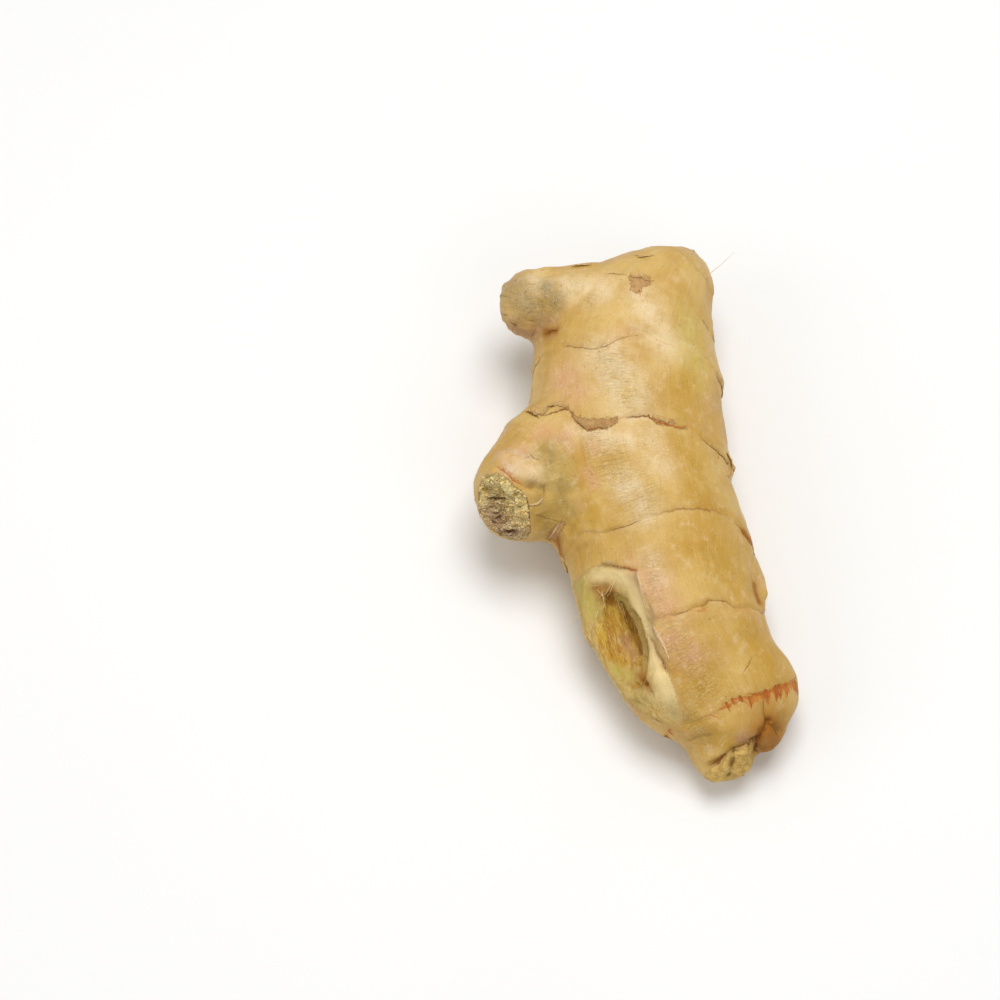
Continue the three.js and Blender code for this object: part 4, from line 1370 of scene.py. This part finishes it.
def make_scales(surface):
    """All the dry scales along the joints, as one piece."""
    lines = [(surface.under_pixels(pixels), reach, lift) for pixels, reach, lift in SCALES]
    body = LIMBS[BODY_NUMBER]
    for number, low, high in HIDDEN_SCALES:
        one = body.joints[number]
        angles = np.radians(np.linspace(low, high, 14))
        path = []
        for run, angle in zip(body.line(one, angles), angles):
            nearest = int(np.abs(body.run - run).argmin())
            way = body.side[nearest] * math.cos(angle) + body.up[nearest] * math.sin(angle)
            found = surface.hit(body.centre[nearest], way)
            if found is not None and found[0][2] > 0.8:
                path.append(found[0])
        lines.append((path, HIDDEN_REACH, HIDDEN_LIFT))
    points, faces, ply = [], [], []
    for seed, (line, reach, lift) in enumerate(lines):
        if len(line) < 2:
            continue
        rows, across, width = scale_strip(surface, line, reach, lift, seed)
        first = sum(map(len, points))
        for row in range(len(rows) // width - 1):
            for column in range(width - 1):
                corner = first + row * width + column
                faces.append((corner, corner + 1, corner + width + 1, corner + width))
        points.append(rows)
        ply.append(across)
    mesh = bpy.data.meshes.new("scales")
    mesh.from_pydata((np.concatenate(points) * MM).tolist(), [], faces)
    store(mesh, "ply", np.concatenate(ply))
    shape = bmesh.new()
    shape.from_mesh(mesh)
    for face in shape.faces:
        middle = np.array(face.calc_center_median()) / MM
        if np.array(face.normal) @ surface.nearest(middle)[1] < 0:
            face.normal_flip()
    shape.to_mesh(mesh)
    shape.free()
    mesh.shade_smooth()
    sheet = bpy.data.objects.new("scale_sheet", mesh)
    bpy.context.scene.collection.objects.link(sheet)
    thicken = sheet.modifiers.new("thickness", "SOLIDIFY")
    thicken.thickness = SCALE_THICKNESS * MM
    thicken.offset = 0
    return new_piece("papery_scales", evaluated_mesh(sheet), papery_finish())


HOLLOW_FIBRES = 120
JOINT_FIBRES = 60


class Growth:
    """A Geometry Nodes tree that grows something on a mesh's loose points."""

    def __init__(self, name, sizes):
        self.tree = bpy.data.node_groups.new(name, "GeometryNodeTree")
        self.tree.interface.new_socket("Geometry", in_out="INPUT", socket_type="NodeSocketGeometry")
        self.tree.interface.new_socket("Geometry", in_out="OUTPUT", socket_type="NodeSocketGeometry")
        self.sizes = sizes
        for label, value in sizes.items():
            kind = "NodeSocketInt" if isinstance(value, int) else "NodeSocketFloat"
            self.tree.interface.new_socket(label, in_out="INPUT", socket_type=kind)
        self.inputs = self.tree.nodes.new("NodeGroupInput").outputs

    def node(self, kind, values, **settings):
        made = self.tree.nodes.new(kind)
        for name, value in settings.items():
            setattr(made, name, value)
        for name, value in values.items():
            if isinstance(value, bpy.types.NodeSocket):
                self.tree.links.new(value, made.inputs[name])
            else:
                made.inputs[name].default_value = value
        return made

    def attribute(self, name, kind="FLOAT"):
        return self.node("GeometryNodeInputNamedAttribute", {"Name": name}, data_type=kind).outputs["Attribute"]

    def math(self, operation, *values):
        return self.node("ShaderNodeMath", dict(enumerate(values)), operation=operation).outputs[0]

    def planted(self, shape, axis, size):
        """The shape on every root, with one of its axes along the root's lean, as real geometry."""
        lean = self.attribute("lean", "FLOAT_VECTOR")
        turn = self.node("FunctionNodeAlignRotationToVector", {"Vector": lean}, axis=axis).outputs["Rotation"]
        planted = self.node("GeometryNodeInstanceOnPoints", {
            "Points": self.inputs["Geometry"], "Instance": shape, "Rotation": turn, "Scale": size,
        }).outputs["Instances"]
        return self.node("GeometryNodeRealizeInstances", {"Geometry": planted}).outputs[0]

    def shaken(self, geometry, fineness, reach):
        """The geometry with its points moved by noise, up to about twice a reach."""
        place = self.node("GeometryNodeInputPosition", {}).outputs[0]
        noise = self.node("ShaderNodeTexNoise", {"Vector": place, "Scale": fineness, "Detail": 1.0})
        ends = {0: noise.outputs["Color"], 1: (0.5, 0.5, 0.5)}
        way = self.node("ShaderNodeVectorMath", ends, operation="SUBTRACT").outputs[0]
        far = self.math("MULTIPLY", reach, 4.0)
        shift = self.node("ShaderNodeVectorMath", {0: way, "Scale": far}, operation="SCALE").outputs[0]
        return self.node("GeometryNodeSetPosition", {"Geometry": geometry, "Offset": shift}).outputs[0]

    def grown(self, roots, geometry, material):
        """Ends the tree, and returns what it grows on a mesh of roots, as a plain mesh."""
        real = self.node("GeometryNodeRealizeInstances", {"Geometry": geometry}).outputs[0]
        last = self.node("GeometryNodeSetMaterial", {"Geometry": real, "Material": material}).outputs[0]
        self.tree.links.new(last, self.tree.nodes.new("NodeGroupOutput").inputs[0])
        holder = bpy.data.objects.new("roots", roots)
        bpy.context.scene.collection.objects.link(holder)
        modifier = holder.modifiers.new("growth", "NODES")
        modifier.node_group = self.tree
        for socket in self.tree.interface.items_tree:
            if socket.in_out == "INPUT" and socket.name in self.sizes:
                modifier[socket.identifier] = self.sizes[socket.name]
        return evaluated_mesh(holder)


def root_mesh(places, **values):
    """A mesh of loose points, in metres, with numbers kept on them."""
    mesh = bpy.data.meshes.new("roots")
    mesh.from_pydata((np.array(places) * MM).tolist(), [], [])
    for name, numbers in values.items():
        store(mesh, name, np.array(numbers, float))
    return mesh


def fibre_roots(surface, points, values, normals):
    """Where the fibres are rooted, which way they lean and how long they are: those that the photograph
    shows, then finer ones strewn over the hollow and along the joints."""
    roots = []
    for start, end, rise in FIBRES:
        root = surface.under_pixel(start)
        if root is None:
            continue
        across = (end[0] - start[0]) / PIXELS_PER_MM
        up = (start[1] - end[1]) / PIXELS_PER_MM
        way = RIGHT * across + RISE * up + BACK * rise
        roots.append((root - 0.2 * unit(way), unit(way), np.linalg.norm(way), 0.09, 0.55))
    random = np.random.default_rng(5)
    runs = unit(np.array(HOLLOW["runs"], float))
    hollow = np.flatnonzero((values["cavity"] > 0.1) & within(HOLLOW, points, 30))
    for index in random.choice(hollow, HOLLOW_FIBRES, replace=False):
        way = runs * random.uniform(0.5, 1.2) + normals[index] * random.uniform(0.15, 0.5)
        way = unit(way + random.normal(size=3) * 0.25)
        place = points[index] - 0.15 * normals[index]
        length, width, tone = (random.uniform(low, high) for low, high in ((1.2, 3.6), (0.03, 0.08), (0.5, 1.3)))
        roots.append((place, way, length, width, tone))
    at_joint = (values["joint_strength"] > 0.2) & (np.abs(values["joint"]) < 1.5)
    lines = np.flatnonzero(at_joint & (points[:, 2] > 2))
    for index in random.choice(lines, JOINT_FIBRES, replace=False):
        way = unit(normals[index] * random.uniform(0.2, 0.6) + TOWARDS_TIP * 0.8 + random.normal(size=3) * 0.35)
        roots.append((points[index] - 0.1 * normals[index], way, random.uniform(0.6, 2.0), 0.035, 0.4))
    places, leans, lengths, widths, tones = zip(*roots)
    return root_mesh(places, lean=leans, length=np.array(lengths) * MM, width=np.array(widths) * MM, tone=tones)


def make_fibres(surface, points, values, normals):
    """Each fibre is a thin tube on a bent line, and thinner towards its tip."""
    growth = Growth("fibre_growth", {"Bend": 0.15, "Waviness": 380.0, "Steps": 9})
    inputs = growth.inputs
    stem = growth.node("GeometryNodeCurvePrimitiveLine", {"End": (0, 0, 1)}).outputs["Curve"]
    stem = growth.node("GeometryNodeResampleCurve", {"Curve": stem, "Count": inputs["Steps"]}).outputs["Curve"]
    length = growth.attribute("length")
    stems = growth.planted(stem, "Z", length)
    share = growth.node("GeometryNodeSplineParameter", {}).outputs["Factor"]
    reach = growth.math("MULTIPLY", growth.math("MULTIPLY", length, inputs["Bend"]), share)
    bent = growth.shaken(stems, inputs["Waviness"], reach)
    width = growth.math("MULTIPLY", growth.math("MULTIPLY_ADD", share, -0.7, 1.0), growth.attribute("width"))
    bent = growth.node("GeometryNodeSetCurveRadius", {"Curve": bent, "Radius": width}).outputs[0]
    ring = growth.node("GeometryNodeCurvePrimitiveCircle", {"Resolution": 5, "Radius": 1.0}).outputs["Curve"]
    tube = growth.node("GeometryNodeCurveToMesh", {
        "Curve": bent, "Profile Curve": ring, "Scale": width, "Fill Caps": True,
    }).outputs["Mesh"]
    finish = fibre_finish()
    mesh = growth.grown(fibre_roots(surface, points, values, normals), tube, finish)
    mesh.shade_smooth()
    return new_piece("fibres", mesh, finish)


def crumb_roots(points, values, normals):
    """Where crumbs of dried flesh lie on the broken ends, how they lie, and their size and tone."""
    random = np.random.default_rng(9)
    scar = np.maximum(values["scar"], values["toe"])
    knob = within(KNOB_SCAR, points, KNOB_REACH)
    toes = values["toe"] > 0
    kinds = (  # where, how many, and their smallest and largest size
        (knob & (normals @ BACK > 0.35), 420, 0.12, 0.36),
        (toes, 10, 0.12, 0.26),
        (~knob & ~toes, 160, 0.2, 0.5),
    )
    roots = []
    for there, count, small, large in kinds:
        rough = np.flatnonzero((scar > 0.2) & there & (values["dip"] < 0.15))
        for index in random.choice(rough, min(count, len(rough)), replace=False):
            dull = values["dull"][index] if knob[index] else 0.25
            place = points[index] + normals[index] * random.uniform(-0.15, 0.1)
            lean = unit(RIGHT + 0.35 * random.normal(size=3))
            size = random.uniform(small, large)
            roots.append((place, lean, size, np.clip(dull + random.uniform(-0.3, 0.3), 0, 1)))
    places, leans, sizes, tones = zip(*roots)
    return root_mesh(places, lean=leans, size=np.array(sizes) * MM, tone=tones)


def make_crumbs(points, values, normals):
    """Each crumb is a small ball, drawn out and made lumpy."""
    growth = Growth("crumb_growth", {"Unevenness": 0.8, "Lumpiness": 2200.0})
    inputs = growth.inputs
    size = growth.attribute("size")
    ball = growth.node("GeometryNodeMeshUVSphere", {"Radius": 1.0, "Segments": 8, "Rings": 5}).outputs["Mesh"]
    long_ball = growth.node("GeometryNodeTransform", {"Geometry": ball, "Scale": (1.6, 0.85, 0.75)}).outputs[0]
    balls = growth.planted(long_ball, "X", size)
    rough_balls = growth.shaken(balls, inputs["Lumpiness"], growth.math("MULTIPLY", size, inputs["Unevenness"]))
    finish = crumb_finish()
    mesh = growth.grown(crumb_roots(points, values, normals), rough_balls, finish)
    mesh.shade_smooth()
    return new_piece("crumbs", mesh, finish)


def papery_finish():
    """Dry scale: thin tan paper, streaked, and browner towards its free edge."""
    finish = Finish("papery_scale")
    place = finish.place()
    streak = finish.noise(finish.stretch(place, (2.6, 0.5, 1.2)), 3, 0.6)
    colour = finish.mix(finish.ramp(streak, 0.3, 0.7), SCALE_STRAW, SCALE_TAN)
    blotch = finish.cloud(place, 0.4, 3)
    colour = finish.layer(colour, blotch, 0.5, 0.7, SCALE_BLOTCH, 0.6)
    edge = finish.plus(finish.read("ply"), finish.times(streak, 0.5))
    colour = finish.layer(colour, edge, 0.75, 1.0, SCALE_BROWN, 0.6)
    colour = finish.layer(colour, edge, 1.15, 1.28, SCALE_EDGE, 0.8)
    finish.give("Base Color", colour)
    finish.give("Roughness", finish.mix_number(streak, 0.5, 0.75))
    finish.give("Normal", finish.bump(streak, 0.12))
    return finish.material


def fibre_finish():
    """Fibre: pale straw with darker lengths."""
    finish = Finish("fibre")
    place = finish.place()
    tone = finish.cloud(place, 0.5, 3)
    share = finish.plus(finish.read("tone"), finish.minus(tone, 0.5))
    colour = finish.mix(finish.ramp(share, 0, 1), PALE_FIBRE, DARK_FIBRE)
    finish.give("Base Color", colour)
    finish.give("Roughness", finish.mix_number(tone, 0.5, 0.7))
    finish.give("Normal", finish.bump(finish.cloud(place, 6.0, 2), 0.03))
    return finish.material


def crumb_finish():
    """Dried crumbs of flesh: cream to ochre, dusty."""
    finish = Finish("dried_flesh")
    place = finish.place()
    tone = finish.cloud(place, 0.6, 3, 0.6)
    pale = finish.mix(finish.ramp(tone, 0.4, 0.62), CREAM_CRUMB, OCHRE_CRUMB)
    dull = finish.mix(finish.ramp(tone, 0.4, 0.62), DUSTY_CRUMB, DARK_CRUMB)
    colour = finish.mix(finish.read("tone"), pale, dull)
    finish.give("Base Color", colour)
    finish.give("Roughness", finish.mix_number(tone, 0.7, 0.9))
    finish.give("Normal", finish.bump(finish.cloud(place, 5.0, 3), 0.08))
    return finish.material


def make_floor():
    bpy.ops.mesh.primitive_plane_add(size=3)
    floor = bpy.context.object
    floor.name = "floor"
    finish = Finish("pale_floor")
    haze = finish.noise(finish.stretch(finish.place(), (0.01,) * 3), 2)
    finish.give("Base Color", finish.mix(haze, FLOOR_GREY, FLOOR_WHITE))
    finish.give("Roughness", 0.9)
    floor.data.materials.append(finish.material)


def soft_light(name, place, size, power):
    """A square lamp that faces the rhizome, its place and size in metres."""
    lamp = bpy.data.lights.new(name, "AREA")
    lamp.energy = power
    lamp.size = size
    holder = bpy.data.objects.new(name, lamp)
    holder.location = place
    holder.rotation_euler = (-Vector(place)).to_track_quat("-Z", "Y").to_euler()
    bpy.context.scene.collection.objects.link(holder)


def make_light():
    """A soft key lamp from above, two weaker ones, and a pale sky all round."""
    soft_light("key", (0.04, 0.14, 0.8), 0.45, 4.4)
    soft_light("side", (-0.7, -0.3, 0.5), 0.6, 1.2)
    soft_light("front", (0.35, -0.6, 0.6), 0.6, 0.9)
    world = bpy.data.worlds.new("studio")
    world.use_nodes = True
    sky = world.node_tree.nodes["Background"].inputs
    sky["Color"].default_value = (1.0, 0.99, 0.97, 1)
    sky["Strength"].default_value = 0.44
    bpy.context.scene.world = world
    bpy.context.scene.view_settings.view_transform = "Standard"


def make_camera():
    lens = bpy.data.cameras.new("camera")
    lens.sensor_width = SENSOR
    lens.lens = FOCAL_PIXELS / PICTURE * SENSOR
    lens.clip_start = 0.01
    camera = bpy.data.objects.new("camera", lens)
    camera.location = CAMERA_POINT * MM
    camera.rotation_euler = Vector(BACK).to_track_quat("Z", "Y").to_euler()
    bpy.context.scene.collection.objects.link(camera)
    bpy.context.scene.camera = camera


make_camera()
make_light()
make_floor()
skin_surface, skin_points, skin_values, skin_normals = make_skin()
make_scales(skin_surface)
make_fibres(skin_surface, skin_points, skin_values, skin_normals)
make_crumbs(skin_points, skin_values, skin_normals)
